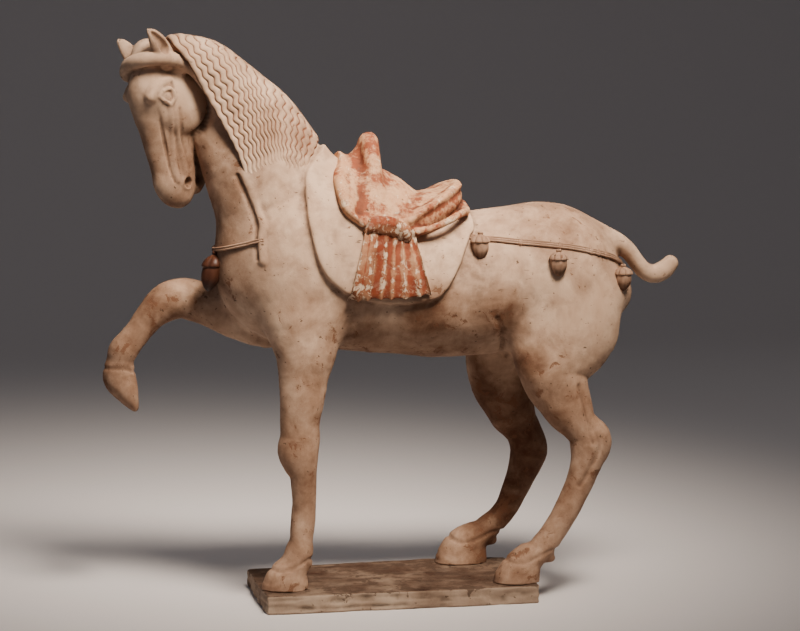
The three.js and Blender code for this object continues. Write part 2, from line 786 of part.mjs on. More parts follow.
// The mane hangs in wavy locks over a fuller neck, and stands proud of it in front. Each row
// follows one lock down, [x, z] in the side view, from the poll to the withers.
const maneForm = join(
  22,
  torso,
  limb([
    [-102, 0, 352, 63, 46],
    [-115, 0, 382, 64, 42],
    [-128, 0, 412, 58.5, 36],
    [-141, 0, 439, 52.5, 31],
    [-153, 0, 461, 43, 28],
    [-166, 0, 483, 34, 26],
    [-184, -2, 502, 28.5, 24],
    [-206, -6, 512, 23, 22],
  ]),
  ...shoulders,
);
const maneLocks = [
  [[-222, 537], [-213, 524], [-199, 506], [-184, 481], [-168, 451], [-155, 424], [-149, 404]],
  [[-190, 540], [-185, 523], [-178, 506], [-168, 484], [-156, 459], [-146, 432], [-140, 404]],
  [[-153, 530], [-152, 511], [-150, 492], [-148, 472], [-144, 450], [-138, 427], [-130, 404]],
  [[-110, 492], [-108, 477], [-110, 463], [-114, 450], [-119, 437], [-122, 422], [-121, 406]],
  [[-88, 467], [-88, 456], [-92, 447], [-98, 438], [-104, 429], [-108, 420], [-110, 408]],
  [[-70, 439], [-74, 433], [-79, 428], [-85, 423], [-91, 418], [-97, 413], [-102, 408]],
];

function along(list, t, mix) {
  const spot = THREE.MathUtils.clamp(t, 0, 1) * (list.length - 1);
  const i = Math.min(Math.floor(spot), list.length - 2);
  return mix(list[i], list[i + 1], spot - i);
}

const mixPairs = ([x1, z1], [x2, z2], t) => [x1 + (x2 - x1) * t, z1 + (z2 - z1) * t];
const lockPlace = (s, t) => along(maneLocks.map((lock) => along(lock, t, mixPairs)), s, mixPairs);

function mane(side, locks, rows, wave) {
  const ridge = 3.2;
  const groove = 0.4;
  const sunk = -18;
  const surface = (s, t, sway, height) => {
    const [x, z] = lockPlace(s, t);
    const [x2, z2] = lockPlace(s, t + 0.02);
    const length = Math.hypot(x2 - x, z2 - z) || 1;
    const place = [x + (sway * (z2 - z)) / length, z - (sway * (x2 - x)) / length];
    if (t > 0) return onFlank(maneForm, place, side, height * scale);
    const top = new THREE.Vector3(place[0], -1.5 * side, place[1]).multiplyScalar(scale);
    return settle(maneForm, top, height * scale);
  };
  const rings = [];
  for (let c = 0; c <= 2 * locks; c++) {
    const s = c / (2 * locks);
    const edge = c === 0 || c === 2 * locks;
    const outer = [];
    const inner = [];
    for (let r = 0; r <= rows; r++) {
      const t = r / rows;
      const sway = wave * Math.sin((Math.PI * r) / 2);
      const taper = Math.min(1, 4 * (1 - s) + 0.3);
      const height = c % 2 === 1 ? ridge : groove;
      outer.push(surface(s, t, sway * taper, edge ? ridge : height));
      inner.push(surface(s, t, sway * taper, sunk));
    }
    rings.push([...outer, ...inner.reverse()]);
  }
  return solid(wrap(rings));
}

// A strap of a given width laid over a form along points on its surface
function strap(shape, path, width, height, circle) {
  const stations = path.map((point) => settle(shape, point));
  const rings = stations.map((point, i) => {
    const before = stations[circle ? (i + stations.length - 1) % stations.length : Math.max(i - 1, 0)];
    const after = stations[circle ? (i + 1) % stations.length : Math.min(i + 1, stations.length - 1)];
    const up = gradient(shape, point).normalize();
    const across = new THREE.Vector3().crossVectors(after.clone().sub(before), up).setLength(width / 2);
    const at = (share, lift) => point.clone().addScaledVector(across, share).addScaledVector(up, lift);
    return [at(1, -3 * scale), at(0.9, height), at(-0.9, height), at(-1, -3 * scale)];
  });
  return solid(wrap(rings, circle));
}

const bothFlanks = (half) => [...half, ...mirrored(half).reverse()];
const toPoints = (rows) => rows.map(([x, y, z]) => new THREE.Vector3(x, y, z).multiplyScalar(scale));
const crupperHalf = [
  [62, -58, 358],
  [78, -58, 350],
  [99, -58, 345],
  [124, -58, 339],
  [150, -58, 334],
  [176, -54, 329],
  [200, -44, 322],
  [216, -32, 317],
  [228, -18, 312],
  [233, -6, 309],
];
const breastHalf = [
  [-130, -46, 341],
  [-142, -40, 338],
  [-154, -33, 335],
  [-165, -22, 332],
  [-171, -8, 330],
];
const strapWidth = 7 * scale;
const strapHeight = 2.4 * scale;

function horseBody() {
  const body = solid(reduce(skin(horseForm, bodyStep), bodyFaces));
  const added = [
    mane(-1, 14, 24, 2),
    mane(1, 9, 6, 1.5),
    strap(trunk, toPoints(bothFlanks(crupperHalf)), strapWidth, strapHeight, false),
    strap(neckForm, toPoints(bothFlanks(breastHalf)), strapWidth * 0.8, strapHeight * 0.8, false),
  ];
  const whole = added.reduce((sum, part) => sum.add(part), body).subtract(ground());
  return solid(reduce(skinOf(whole), horseFaces));
}

// Everything under the soles
function ground() {
  const extent = figureHeight;
  const ring = (x) => [
    new THREE.Vector3(x, -extent, -extent),
    new THREE.Vector3(x, extent, -extent),
    new THREE.Vector3(x, extent, 0),
    new THREE.Vector3(x, -extent, 0),
  ];
  return solid(wrap([ring(-extent), ring(extent)]));
}

// The saddle: a padded skirt, an arched pommel, a low seat and a flared cantle
const skirtOutline = [
  [-50, 430],
  [-57, 404],
  [-58, 389],
  [-55, 375],
  [-47, 364],
  [-36, 354],
  [-10, 346],
  [15, 345],
  [29, 349],
  [44, 355],
  [62, 363],
  [72, 368],
  [72, 420],
  [-40, 450],
];
const rimHalf = [
  [-39, -62, 359, 4.5, 4.5],
  [-50, -60, 367, 5, 5],
  [-56, -57, 377, 5, 5],
  [-58, -50, 389, 5.5, 5.5],
  [-58, -38, 400, 5.5, 5.5],
  [-54, -24, 406.5, 5.5, 5.5],
  [-50, -8, 409.5, 5.5, 5.5],
];
const pommelHalf = [
  [-26, -47, 370, 8, 6],
  [-24, -40, 390, 8, 6],
  [-23, -29, 410, 8, 6],
  [-22, -16, 427, 7.5, 6],
  [-21, -5, 434, 7.5, 6],
];
const pommelFront = limb([
  [-48, 0, 405, 9, 20],
  [-38, 0, 409, 10, 20],
  [-30, 0, 419, 9, 13],
  [-24, 0, 428, 8, 8],
]);
const pommelBoard = join(8, egg([-23, 0, 403], [8, 34, 33]), pommelFront);
const pommelHollow = [
  [-41, -66, 371, 6, 7],
  [-38, -57, 386, 7, 8],
  [-36, -47, 402, 7, 8],
  [-35, -37, 415, 5, 6],
];
const seat = limb([
  [-14, 0, 370, 17, 36],
  [10, 0, 360, 18, 38],
  [34, 0, 360, 18, 36],
  [56, 0, 359, 16, 33],
]);
const cantle = limb([
  [14, 0, 370, 8, 46],
  [32, 0, 376, 8.5, 46],
  [46, 0, 380.5, 7, 42],
  [57, 0, 386, 6, 35],
  [65, 0, 390.5, 3.6, 26],
]);
const cantleBack = limb([
  [-8, 0, 358, 14, 50],
  [16, 0, 359, 16, 52],
  [36, 0, 364, 15, 49],
  [52, 0, 372, 12, 42],
  [59, 0, 377, 8, 35],
]);
// A concave wall closes the space under the cantle lip.
const cantleWallHalf = [
  [2, -52, 354, 9, 8],
  [22, -49, 361, 10, 8],
  [37, -43, 367, 9, 8],
  [50, -33, 374, 8, 8],
  [58, -20, 379, 8, 7],
  [62, -7, 381, 8, 7],
];
const cantleRimHalf = [
  [8, -58, 359, 3.4, 4.5],
  [22, -56, 368, 3.2, 4.5],
  [37, -49, 376, 3, 4.5],
  [51, -38, 384, 3, 4.5],
  [60, -24, 389, 3, 4],
  [65, -8, 391.5, 3, 4],
];
const rearRimHalf = [
  [14, -62, 348, 3.4, 3.4],
  [30, -61, 352, 3.4, 3.4],
  [46, -57, 358, 3.4, 3.4],
  [60, -46, 364, 3.4, 3.4],
  [69, -30, 367, 3.4, 3.4],
];
const skirt = layer(horseForm, 6, skirtOutline, 3);
const pommel = join(8, pommelBoard, limb(bothFlanks(pommelHalf)));
const lip = join(5, limb(bothFlanks(cantleWallHalf)), limb(bothFlanks(cantleRimHalf)));
const bowl = join(5, seat, cantle, cantleBack, lip);
const saddleForm = carve(
  4,
  join(6, skirt, join(7, pommel, bowl), limb(bothFlanks(rimHalf)), limb(bothFlanks(rearRimHalf))),
  limb(pommelHollow),
  limb(mirrored(pommelHollow)),
);

// A pleated cloth falls from the saddle on each side.
const underCloth = join(3, horseForm, skirt);

function pleatedCloth(side) {
  const pleats = 7;
  const rows = 3;
  const top = [[-34.5, 360], [-26, 362], [-11, 360], [0, 354], [10, 347]];
  const hem = [[-52, 288], [-36, 285], [-16, 284], [6, 285], [26, 288]];
  const rings = [];
  for (let c = 0; c <= 2 * pleats; c++) {
    const [from, to] = [along(top, c / (2 * pleats), mixPairs), along(hem, c / (2 * pleats), mixPairs)];
    const outer = [];
    const inner = [];
    for (let r = 0; r <= rows; r++) {
      const place = mixPairs(from, to, r / rows);
      const fold = c % 2 === 1 ? 2.5 + (1.5 * r) / rows : 0;
      outer.push(onFlank(underCloth, place, side, (5 + fold) * scale));
      inner.push(onFlank(underCloth, place, side, 1.5 * scale));
    }
    rings.push([...outer, ...inner.reverse()]);
  }
  return solid(wrap(rings));
}

// Egg-shaped tassels, carved in petals and pointed below, hang from the straps. A tassel that
// leans swings forward at its foot.
const tasselSize = 9 * scale;
const tasselPlaces = { front: [79, 332], middle: [154, 316], rear: [224, 298] };
const breastTasselPlace = new THREE.Vector3(-184, -8, 309).multiplyScalar(scale);

function tassel(centre, radius, length, lean = 0) {
  const petals = 4;
  const profile = [[0.5, 0.3], [0.3, 0.88], [0, 1], [-0.28, 0.66], [-0.5, 0.12]];
  const rings = profile.map(([height, share], r) => {
    const ring = [];
    for (let i = 0; i < 2 * petals; i++) {
      const angle = (Math.PI * (i + (r % 2) * 0.5)) / petals;
      const width = radius * share * (i % 2 === 0 ? 1 : 0.84);
      const up = height * length;
      const spoke = new THREE.Vector3(Math.cos(angle) * width + lean * up, Math.sin(angle) * width, up);
      ring.push(spoke.add(centre));
    }
    return ring;
  });
  return solid(wrap(rings));
}

const tail = limb([
  [210, 0, 341, 10, 12],
  [222, 0, 336, 10, 12],
  [235, 0, 330, 8.6, 10.5],
  [245, 0, 321, 8.2, 10],
  [254, 0, 309, 8, 10],
  [263, 0, 301, 8.4, 9.5],
  [273, 0, 299, 9.2, 9],
  [282, 0, 303, 9.4, 8.5],
  [288, 0, 309, 8.4, 8],
]);

// The base slab is rough slab-built clay: wavering edges with a ledge between two layers. Its
// far edge bows outward.
const slabCorners = [[-135, -69], [138, -69], [138, 78], [75, 86], [-10, 83], [-80, 76], [-135, 69]];

function baseSlab() {
  const perSide = [12, 6, 3, 4, 3, 2, 6];
  const outline = slabCorners.flatMap((corner, side) => {
    const next = slabCorners[(side + 1) % slabCorners.length];
    return Array.from({ length: perSide[side] }, (_, i) => mixPairs(corner, next, i / perSide[side]));
  });
  const layers = [[0, 1], [6, 0], [9, 0.9], [15, 0.1], [slabThickness, 1.6]];
  const rings = layers.map(([height, inset], r) =>
    outline.map(([x, y], i) => {
      const waver = 0.9 * Math.sin(2.3 * i + 1.7 * r) + 0.8 * Math.sin(0.9 * i + 0.6 * r);
      const kept = (1 - (inset + 0.8 + waver) / Math.hypot(x, y)) * scale;
      return new THREE.Vector3(x * kept, y * kept, height);
    }),
  );
  return solid(wrap(rings));
}

const horseSolid = horseBody();
const horseRoom = grown(horseSolid);
const saddleSolid = solid(reduce(skin(saddleForm, smallStep), saddleFaces)).subtract(horseRoom);
const saddleRoom = grown(saddleSolid);
const tailSolid = solid(reduce(skin(tail, smallStep), tailFaces)).subtract(horseRoom);

const figureBase = slabThickness + clearance;
const group = new THREE.Group();
group.add(piece("base_slab", baseSlab(), bareClay, 0));
group.add(piece("horse", horseSolid, slipOverClay, figureBase));
group.add(piece("saddle", saddleSolid, redPigment, figureBase));
group.add(piece("tail", tailSolid, slipOverClay, figureBase));

const flanks = { near: -1, far: 1 };
for (const [flank, side] of Object.entries(flanks)) {
  const cloth = pleatedCloth(side).subtract(horseRoom).subtract(saddleRoom);
  group.add(piece(`pleated_cloth_${flank}`, cloth, redPigment, figureBase));
  for (const [spot, place] of Object.entries(tasselPlaces)) {
    const body = tassel(onFlank(horseForm, place, side, tasselSize * 0.4), tasselSize, 3 * tasselSize);
    group.add(piece(`${spot}_tassel_${flank}`, body.subtract(horseRoom), dirtySlip, figureBase));
  }
}

const breastCentre = settle(horseForm, breastTasselPlace, tasselSize * 0.4);
const breastTassel = tassel(breastCentre, 1.22 * tasselSize, 4.5 * tasselSize, 0.2);
group.add(piece("breast_tassel", breastTassel.subtract(horseRoom), brownPaint, figureBase));

export default group;
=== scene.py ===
import math

import bpy
import numpy as np
import openvdb
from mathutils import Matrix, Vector


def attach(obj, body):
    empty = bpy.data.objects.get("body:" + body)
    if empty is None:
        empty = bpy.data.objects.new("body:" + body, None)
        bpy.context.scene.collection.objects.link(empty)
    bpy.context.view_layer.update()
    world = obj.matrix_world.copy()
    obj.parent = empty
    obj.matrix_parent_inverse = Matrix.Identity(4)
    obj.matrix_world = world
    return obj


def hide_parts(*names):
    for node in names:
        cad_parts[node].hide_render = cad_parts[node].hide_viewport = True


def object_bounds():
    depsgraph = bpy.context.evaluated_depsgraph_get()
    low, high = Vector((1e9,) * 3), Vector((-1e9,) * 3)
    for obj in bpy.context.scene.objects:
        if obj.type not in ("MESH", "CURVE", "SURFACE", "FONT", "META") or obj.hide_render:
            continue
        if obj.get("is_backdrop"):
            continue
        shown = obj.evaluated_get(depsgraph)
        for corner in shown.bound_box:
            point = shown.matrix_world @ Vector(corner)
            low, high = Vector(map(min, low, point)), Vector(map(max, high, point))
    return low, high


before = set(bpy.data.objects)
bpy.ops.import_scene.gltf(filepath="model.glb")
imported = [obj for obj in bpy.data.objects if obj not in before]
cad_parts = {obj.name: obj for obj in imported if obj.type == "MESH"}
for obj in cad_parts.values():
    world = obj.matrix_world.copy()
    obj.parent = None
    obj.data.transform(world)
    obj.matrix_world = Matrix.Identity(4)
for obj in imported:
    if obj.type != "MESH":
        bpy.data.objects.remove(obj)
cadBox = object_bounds()

# A painted earthenware horse from a tomb. The tables are in millimetres, with heights from the
# soles; the horse faces -X and its near flank is on -Y. The soles stand this high in the row frame.
soleHeight = 18.3


def toRow(points):
    return (np.asarray(points, float) + [0, 0, soleHeight]) / 1000


def clamp(values):
    return np.clip(values, 0, 1)


def newObject(name, data):
    item = bpy.data.objects.new(name, data)
    bpy.context.scene.collection.objects.link(item)
    return item


# Light, camera and floor

view = {"turn": -11.5, "rise": 5.7, "distance": 2.4, "aim": (0.010, 0, 0.280), "lens": 109.35}


def directionFrom(turn, rise):
    a, e = math.radians(turn), math.radians(rise)
    return Vector((math.sin(a) * math.cos(e), -math.cos(a) * math.cos(e), math.sin(e)))


def makeCamera():
    back = directionFrom(view["turn"], view["rise"])
    data = bpy.data.cameras.new("studio_camera")
    data.lens = view["lens"]
    data.sensor_width = 36
    camera = newObject("studio_camera", data)
    camera.location = Vector(view["aim"]) + back * view["distance"]
    camera.rotation_euler = back.to_track_quat("Z", "Y").to_euler()
    bpy.context.scene.camera = camera


studio = {
    # turn, rise, distance, size in metres, strength in watts, colour, height of the aim, beam angle;
    # the key lamp has a grid that keeps its beam off the legs
    "key": (12, 52, 1.3, 0.5, 4.3, "#fff0e0", 0.46, 42),
    "fill": (-62, 24, 2.8, 2.2, 3, "#e6e6ff", 0.25, 180),
    "top": (0, 86, 2.0, 1.6, 7, "#fff8f2", 0.25, 180),
    "world": "#d8d5da", "worldStrength": 0.11,
    "floor": "#d9d4d3", "floorHalfWidth": 8, "bendStart": 2.2, "bendRadius": 1.4,
}


def linear(hexText):
    channels = [int(hexText[i : i + 2], 16) / 255 for i in (1, 3, 5)]
    return [c / 12.92 if c < 0.04045 else ((c + 0.055) / 1.055) ** 2.4 for c in channels] + [1]


def addNode(tree, kind, settings=None, links=None):
    node = tree.nodes.new(kind)
    for name, value in (settings or {}).items():
        setattr(node, name, value)
    for name, value in (links or {}).items():
        if isinstance(value, bpy.types.NodeSocket):
            tree.links.new(value, node.inputs[name])
        else:
            node.inputs[name].default_value = value
    return node


def newMaterial(name):
    material = bpy.data.materials.new(name)
    material.use_nodes = True
    material.node_tree.nodes.clear()
    return material, material.node_tree


def makeStudio():
    for name in ("key", "fill", "top"):
        turn, rise, distance, size, power, colour, aim, beam = studio[name]
        data = bpy.data.lights.new(name + "_light", "AREA")
        data.size = size
        data.energy = power
        data.color = linear(colour)[:3]
        data.spread = math.radians(beam)
        lamp = newObject(name + "_light", data)
        away = directionFrom(turn, rise)
        lamp.location = Vector((0, 0, aim)) + away * distance
        lamp.rotation_euler = away.to_track_quat("Z", "Y").to_euler()
    world = bpy.data.worlds.new("studio_world")
    world.use_nodes = True
    background = world.node_tree.nodes["Background"]
    background.inputs["Color"].default_value = linear(studio["world"])
    background.inputs["Strength"].default_value = studio["worldStrength"]
    bpy.context.scene.world = world

    # A pale sweep: flat under the horse, curving up behind it
    start, bend, wide = studio["bendStart"], studio["bendRadius"], studio["floorHalfWidth"]
    profile = [(-6, 0), (start, 0)]
    profile += [(start + bend * math.sin(t), bend - bend * math.cos(t)) for t in np.linspace(0.1, 1.57, 14)]
    profile += [(start + bend, 6)]
    points = [(x, y, z) for y, z in profile for x in (-wide, wide)]
    faces = [(2 * i, 2 * i + 1, 2 * i + 3, 2 * i + 2) for i in range(len(profile) - 1)]
    mesh = bpy.data.meshes.new("studio_floor")
    mesh.from_pydata(points, [], faces)
    mesh.shade_smooth()
    material, tree = newMaterial("matt_paper")
    shader = addNode(tree, "ShaderNodeBsdfPrincipled", None,
                     {"Base Color": linear(studio["floor"]), "Roughness": 0.9})
    addNode(tree, "ShaderNodeOutputMaterial", None, {"Surface": shader.outputs[0]})
    mesh.materials.append(material)
    floor = newObject("studio_floor", mesh)
    floor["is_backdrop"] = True


makeCamera()
makeStudio()
print("studio ready")

# Forms of wet clay: signed distances in millimetres, negative inside

# a form whose box is farther away than this counts as its box
reach = 30.0


def smoothMin(a, b, fillet):
    near = np.maximum(fillet - np.abs(a - b), 0) / fillet
    return np.minimum(a, b) - near * near * fillet / 4


class Form:
    def __init__(self, low, high, exact):
        self.low, self.high, self.exact = np.array(low, float), np.array(high, float), exact

    def distance(self, points, span):
        gap = np.maximum(np.maximum(self.low - span[1], span[0] - self.high), 0)
        away = float(np.sqrt((gap * gap).sum()))
        return np.full(len(points), away) if away > reach else self.exact(points, span)

    def at(self, points):
        return self.distance(points, (points.min(0), points.max(0)))


def join(fillet, *forms):
    low = np.min([f.low for f in forms], 0)
    high = np.max([f.high for f in forms], 0)

    def exact(points, span):
        nearest = np.full(len(points), 1e3)
        for part in forms:
            nearest = smoothMin(nearest, part.distance(points, span), fillet)
        return nearest

    return Form(low, high, exact)


def carve(fillet, body, *tools):
    def exact(points, span):
        d = body.distance(points, span)
        for tool in tools:
            d = -smoothMin(-d, tool.distance(points, span), fillet)
        return d

    return Form(body.low, body.high, exact)


def smoothLine(rows, steps, closed=False):
    rows = np.array(rows, float)
    n = len(rows)
    spans = n if closed else n - 1
    pick = (lambda i: rows[i % n]) if closed else (lambda i: rows[min(max(i, 0), n - 1)])
    line = []
    for i in range(spans):
        a, b, c, d = pick(i - 1), pick(i), pick(i + 1), pick(i + 2)
        for s in range(steps):
            t = s / steps
            square, cube = 2 * a - 5 * b + 4 * c - d, 3 * b - a - 3 * c + d
            line.append(0.5 * (2 * b + (c - a) * t + square * t * t + cube * t**3))
    if not closed:
        line.append(rows[-1])
    return np.array(line)


def limb(rows, across=(0, 1, 0)):
    # rows of x, y, z, half depth seen from the side, half width
    stations = smoothLine(rows, 4)
    widest = stations[:, 3:].max(1)[:, None]
    start, run = stations[:-1], np.diff(stations, axis=0)
    length2 = (run[:, :3] ** 2).sum(1)
    middle = start[:, :3] + run[:, :3] / 2
    halfLength = np.sqrt(length2) / 2
    most = np.maximum(stations[:-1, 3:].max(1), stations[1:, 3:].max(1))
    least = np.minimum(stations[:-1, 3:].min(1), stations[1:, 3:].min(1))
    across = np.array(across, float)

    def exact(points, span):
        # only the bones that can be nearest somewhere in the span
        centre = (span[0] + span[1]) / 2
        halfSpan = np.sqrt(((span[1] - span[0]) ** 2).sum()) / 2
        toBone = np.sqrt(((middle - centre) ** 2).sum(1))
        upper = (toBone - least).min() + halfSpan
        near = toBone - halfLength - most - halfSpan <= upper
        s, r, l2 = start[near, :3] - centre, run[near], length2[near]
        p = points - centre
        onRun = p @ r[:, :3].T - (s * r[:, :3]).sum(1)
        t = clamp(onRun / l2)
        away2 = (p * p).sum(1)[:, None] - 2 * (p @ s.T) + (s * s).sum(1) - t * (2 * onRun - t * l2)
        side = (p @ across)[:, None] - s @ across - t * (r[:, :3] @ across)
        side *= side
        depth = (start[near, 3] + t * r[:, 3]) ** 2
        width = (start[near, 4] + t * r[:, 4]) ** 2
        u2 = np.maximum(away2 - side, 0) / depth
        v2 = side / width
        k0 = np.sqrt(u2 + v2)
        k1 = np.sqrt(u2 / depth + v2 / width) + 1e-9
        return np.where(k0 < 1e-4, -np.sqrt(np.minimum(depth, width)), k0 * (k0 - 1) / k1).min(1)

    return Form((stations[:, :3] - widest).min(0), (stations[:, :3] + widest).max(0), exact)


def egg(centre, halfAxes, pitch=0, turn=0):
    p, t = math.radians(pitch), math.radians(turn)
    lean = np.array([[math.cos(p), 0, math.sin(p)], [0, 1, 0], [-math.sin(p), 0, math.cos(p)]])
    spin = np.array([[math.cos(t), -math.sin(t), 0], [math.sin(t), math.cos(t), 0], [0, 0, 1]]) @ lean
    centre, half = np.array(centre, float), np.array(halfAxes, float)

    def exact(points, span):
        q = (points - centre) @ spin / half
        k0 = np.sqrt((q * q).sum(1))
        k1 = np.sqrt(((q / half) ** 2).sum(1)) + 1e-9
        return np.where(k0 < 1e-4, -half.min(), k0 * (k0 - 1) / k1)

    return Form(centre - half.max(), centre + half.max(), exact)


def layer(under, thickness, outline, fillet):
    # a form thickened inside an outline of x, z points in the side view
    loop = smoothLine(outline, 3, closed=True)
    edge = np.roll(loop, -1, 0) - loop
    length2 = (edge**2).sum(1)
    z1, z2 = loop[:, 1], np.roll(loop, -1, 0)[:, 1]
    slant = edge[:, 0] / np.where(edge[:, 1] == 0, 1e-9, edge[:, 1])

    def exact(points, span):
        above = under.distance(points, span) - thickness
        p = points[:, ::2]
        onEdge = p @ edge.T - (loop * edge).sum(1)
        t = clamp(onEdge / length2)
        away2 = (p * p).sum(1)[:, None] - 2 * (p @ loop.T) + (loop**2).sum(1) - t * (2 * onEdge - t * length2)
        away = np.sqrt(np.maximum(away2.min(1), 0))
        z = points[:, 2:3]
        crossing = loop[:, 0] + slant * (z - z1)
        within = (((z1 > z) != (z2 > z)) & (points[:, :1] < crossing)).sum(1) % 2 == 1
        return -smoothMin(-above, -np.where(within, -away, away), fillet)

    low, high = loop.min(0), loop.max(0)
    sides = under.low[1] - thickness, under.high[1] + thickness
    return Form((low[0], sides[0], low[1]), (high[0], sides[1], high[1]), exact)


def slopeOf(shape, points):
    e = 0.4
    steps = np.eye(3) * e
    return np.stack([shape.at(points + s) - shape.at(points - s) for s in steps], 1) / (2 * e)


def unit(vectors):
    return vectors / np.maximum(np.linalg.norm(vectors, axis=-1, keepdims=True), 1e-9)


def outwardOn(shape, points):
    return unit(slopeOf(shape, points.reshape(-1, 3))).reshape(points.shape)


def settle(shape, points, height=0.0, tries=10):
    # the points, moved to the form's surface or to a height above it
    points = np.array(points, float)
    for _ in range(tries):
        slope = slopeOf(shape, points)
        off = shape.at(points) - height
        move = np.clip(off / np.maximum((slope**2).sum(1), 0.3), -6, 6)
        points -= slope * move[:, None]
    return points


def onFlank(shape, places, side, height=0.0, core=0.0):
    # the points of a flank behind places x, z of the side view; the core depth lies inside the form
    places = np.array(places, float)
    at = lambda y: np.stack([places[:, 0], y, places[:, 1]], 1)
    inside, outside = np.full(len(places), float(core)), np.full(len(places), side * 110.0)
    edge = shape.at(at(inside)) > -2
    for _ in range(20):
        middle = (inside + outside) / 2
        within = shape.at(at(middle)) < 0
        inside, outside = np.where(within, middle, inside), np.where(within, outside, middle)
    points = at(inside)
    points += unit(slopeOf(shape, points)) * height
    if edge.any():
        points[edge] = settle(shape, at(np.full(len(places), side * 2.0))[edge], height)
    return points


def flankGrid(shape, sheet, side):
    return onFlank(shape, sheet.reshape(-1, 2), side).reshape(*sheet.shape[:2], 3)


def lengthAlong(lines):
    # how far down its line each point lies, with one point of every line to a row
    return np.linalg.norm(np.diff(lines, axis=0, prepend=lines[:1]), axis=-1).cumsum(0)


def gridPlaces(low, high, step, fineLow=0.0, fineHigh=0.0, fineStep=1.0):
    # grid lines closer together between fineLow and fineHigh
    places = [low - 2 * step]
    while places[-1] < high + 2 * step or len(places) % 4:
        places.append(places[-1] + (fineStep if fineLow < places[-1] < fineHigh else step))
    return np.array(places)


def skinOf(shape, lines):
    # distances are worked out in full only in the little cubes that the surface can cross
    group = [a.reshape(-1, 4) for a in lines]
    middle = [g.mean(1) for g in group]
    half = [(g[:, -1] - g[:, 0]) / 2 for g in group]
    step = max(np.diff(a).max() for a in lines)
    count = np.array([len(m) for m in middle])
    rough = np.empty(count, np.float32)
    block = 6
    cuts = []
    for start in np.ndindex(*(-(-count // block))):
        cuts.append(tuple(slice(s * block, min(s * block + block, n)) for s, n in zip(start, count)))
    centres = np.array([[m[c].mean() for m, c in zip(middle, cut)] for cut in cuts])
    sizes = [[m[c][-1] - m[c][0] + 4 * step for m, c in zip(middle, cut)] for cut in cuts]
    first = np.concatenate([shape.at(part) for part in np.array_split(centres, 12)])
    near = np.abs(first) < 0.68 * np.linalg.norm(sizes, axis=1) + 3
    for cut, d, close in zip(cuts, first, near):
        if not close:
            rough[cut] = d
            continue
        cells = np.stack(np.meshgrid(*[m[c] for m, c in zip(middle, cut)], indexing="ij"), -1)
        rough[cut] = shape.at(cells.reshape(-1, 3)).reshape(cells.shape[:3])
    far = 1.3 * (np.sqrt(half[0][:, None, None] ** 2 + half[1][:, None] ** 2 + half[2] ** 2) + step)
    crossed = np.abs(rough) < far
    values = rough.repeat(4, 0).repeat(4, 1).repeat(4, 2)
    for cut, close in zip(cuts, near):
        mask = crossed[cut]
        if not close or not mask.any():
            continue
        fine = tuple(slice(c.start * 4, c.stop * 4) for c in cut)
        mask = mask.repeat(4, 0).repeat(4, 1).repeat(4, 2)
        at = np.argwhere(mask) + [c.start for c in fine]
        points = np.stack([a[i] for a, i in zip(lines, at.T)], 1)
        values[fine][mask] = shape.at(points)
    grid = openvdb.FloatGrid(100.0)
    grid.copyFromArray(values)
    places, quads = grid.convertToQuads(isovalue=0.0)
    points = np.stack([np.interp(places[:, c], np.arange(len(lines[c])), lines[c]) for c in range(3)], 1)
    return points, quads.astype(np.int32)


def evenLines(shape, step):
    return [gridPlaces(low, high, step) for low, high in zip(shape.low, shape.high)]


# Meshes


def meshObject(name, points, faces):
    mesh = bpy.data.meshes.new(name)
    sides = faces.shape[1]
    mesh.vertices.add(len(points))
    mesh.vertices.foreach_set("co", toRow(points).astype(np.float32).ravel())
    mesh.loops.add(faces.size)
    mesh.loops.foreach_set("vertex_index", faces.astype(np.int32).ravel())
    mesh.polygons.add(len(faces))
    mesh.polygons.foreach_set("loop_start", np.arange(0, faces.size, sides, dtype=np.int32))
    mesh.update(calc_edges=True)
    mesh.validate()
    mesh.shade_smooth()
    return newObject(name, mesh)


def finishedMesh(piece):
    # the mesh as its modifiers leave it; the modifiers go
    graph = bpy.context.evaluated_depsgraph_get()
    evaluated = piece.evaluated_get(graph)
    mesh = bpy.data.meshes.new_from_object(evaluated, preserve_all_data_layers=True, depsgraph=graph)
    piece.modifiers.clear()
    old, piece.data = piece.data, mesh
    bpy.data.meshes.remove(old)


def thinOut(piece, most):
    triangles = sum(len(p.vertices) - 2 for p in piece.data.polygons)
    if triangles > most:
        modifier = piece.modifiers.new("thin_out", "DECIMATE")
        modifier.ratio = most / triangles
        finishedMesh(piece)


def pointsOf(piece):
    co = np.empty(len(piece.data.vertices) * 3, np.float32)
    piece.data.vertices.foreach_get("co", co)
    return co.reshape(-1, 3).astype(float) * 1000 - [0, 0, soleHeight]


def movePoints(piece, points):
    piece.data.vertices.foreach_set("co", toRow(points).astype(np.float32).ravel())
    piece.data.update()


def normalsOf(piece):
    normals = np.empty(len(piece.data.vertices) * 3, np.float32)
    piece.data.vertex_normals.foreach_get("vector", normals)
    return normals.reshape(-1, 3).astype(float)


def setAttribute(piece, name, values, kind="FLOAT"):
    attribute = piece.data.attributes.get(name) or piece.data.attributes.new(name, kind, "POINT")
    key = "vector" if kind == "FLOAT_VECTOR" else "value"
    attribute.data.foreach_set(key, np.asarray(values, np.float32).ravel())


def getAttribute(piece, name):
    values = np.empty(len(piece.data.vertices), np.float32)
    piece.data.attributes[name].data.foreach_get("value", values)
    return values


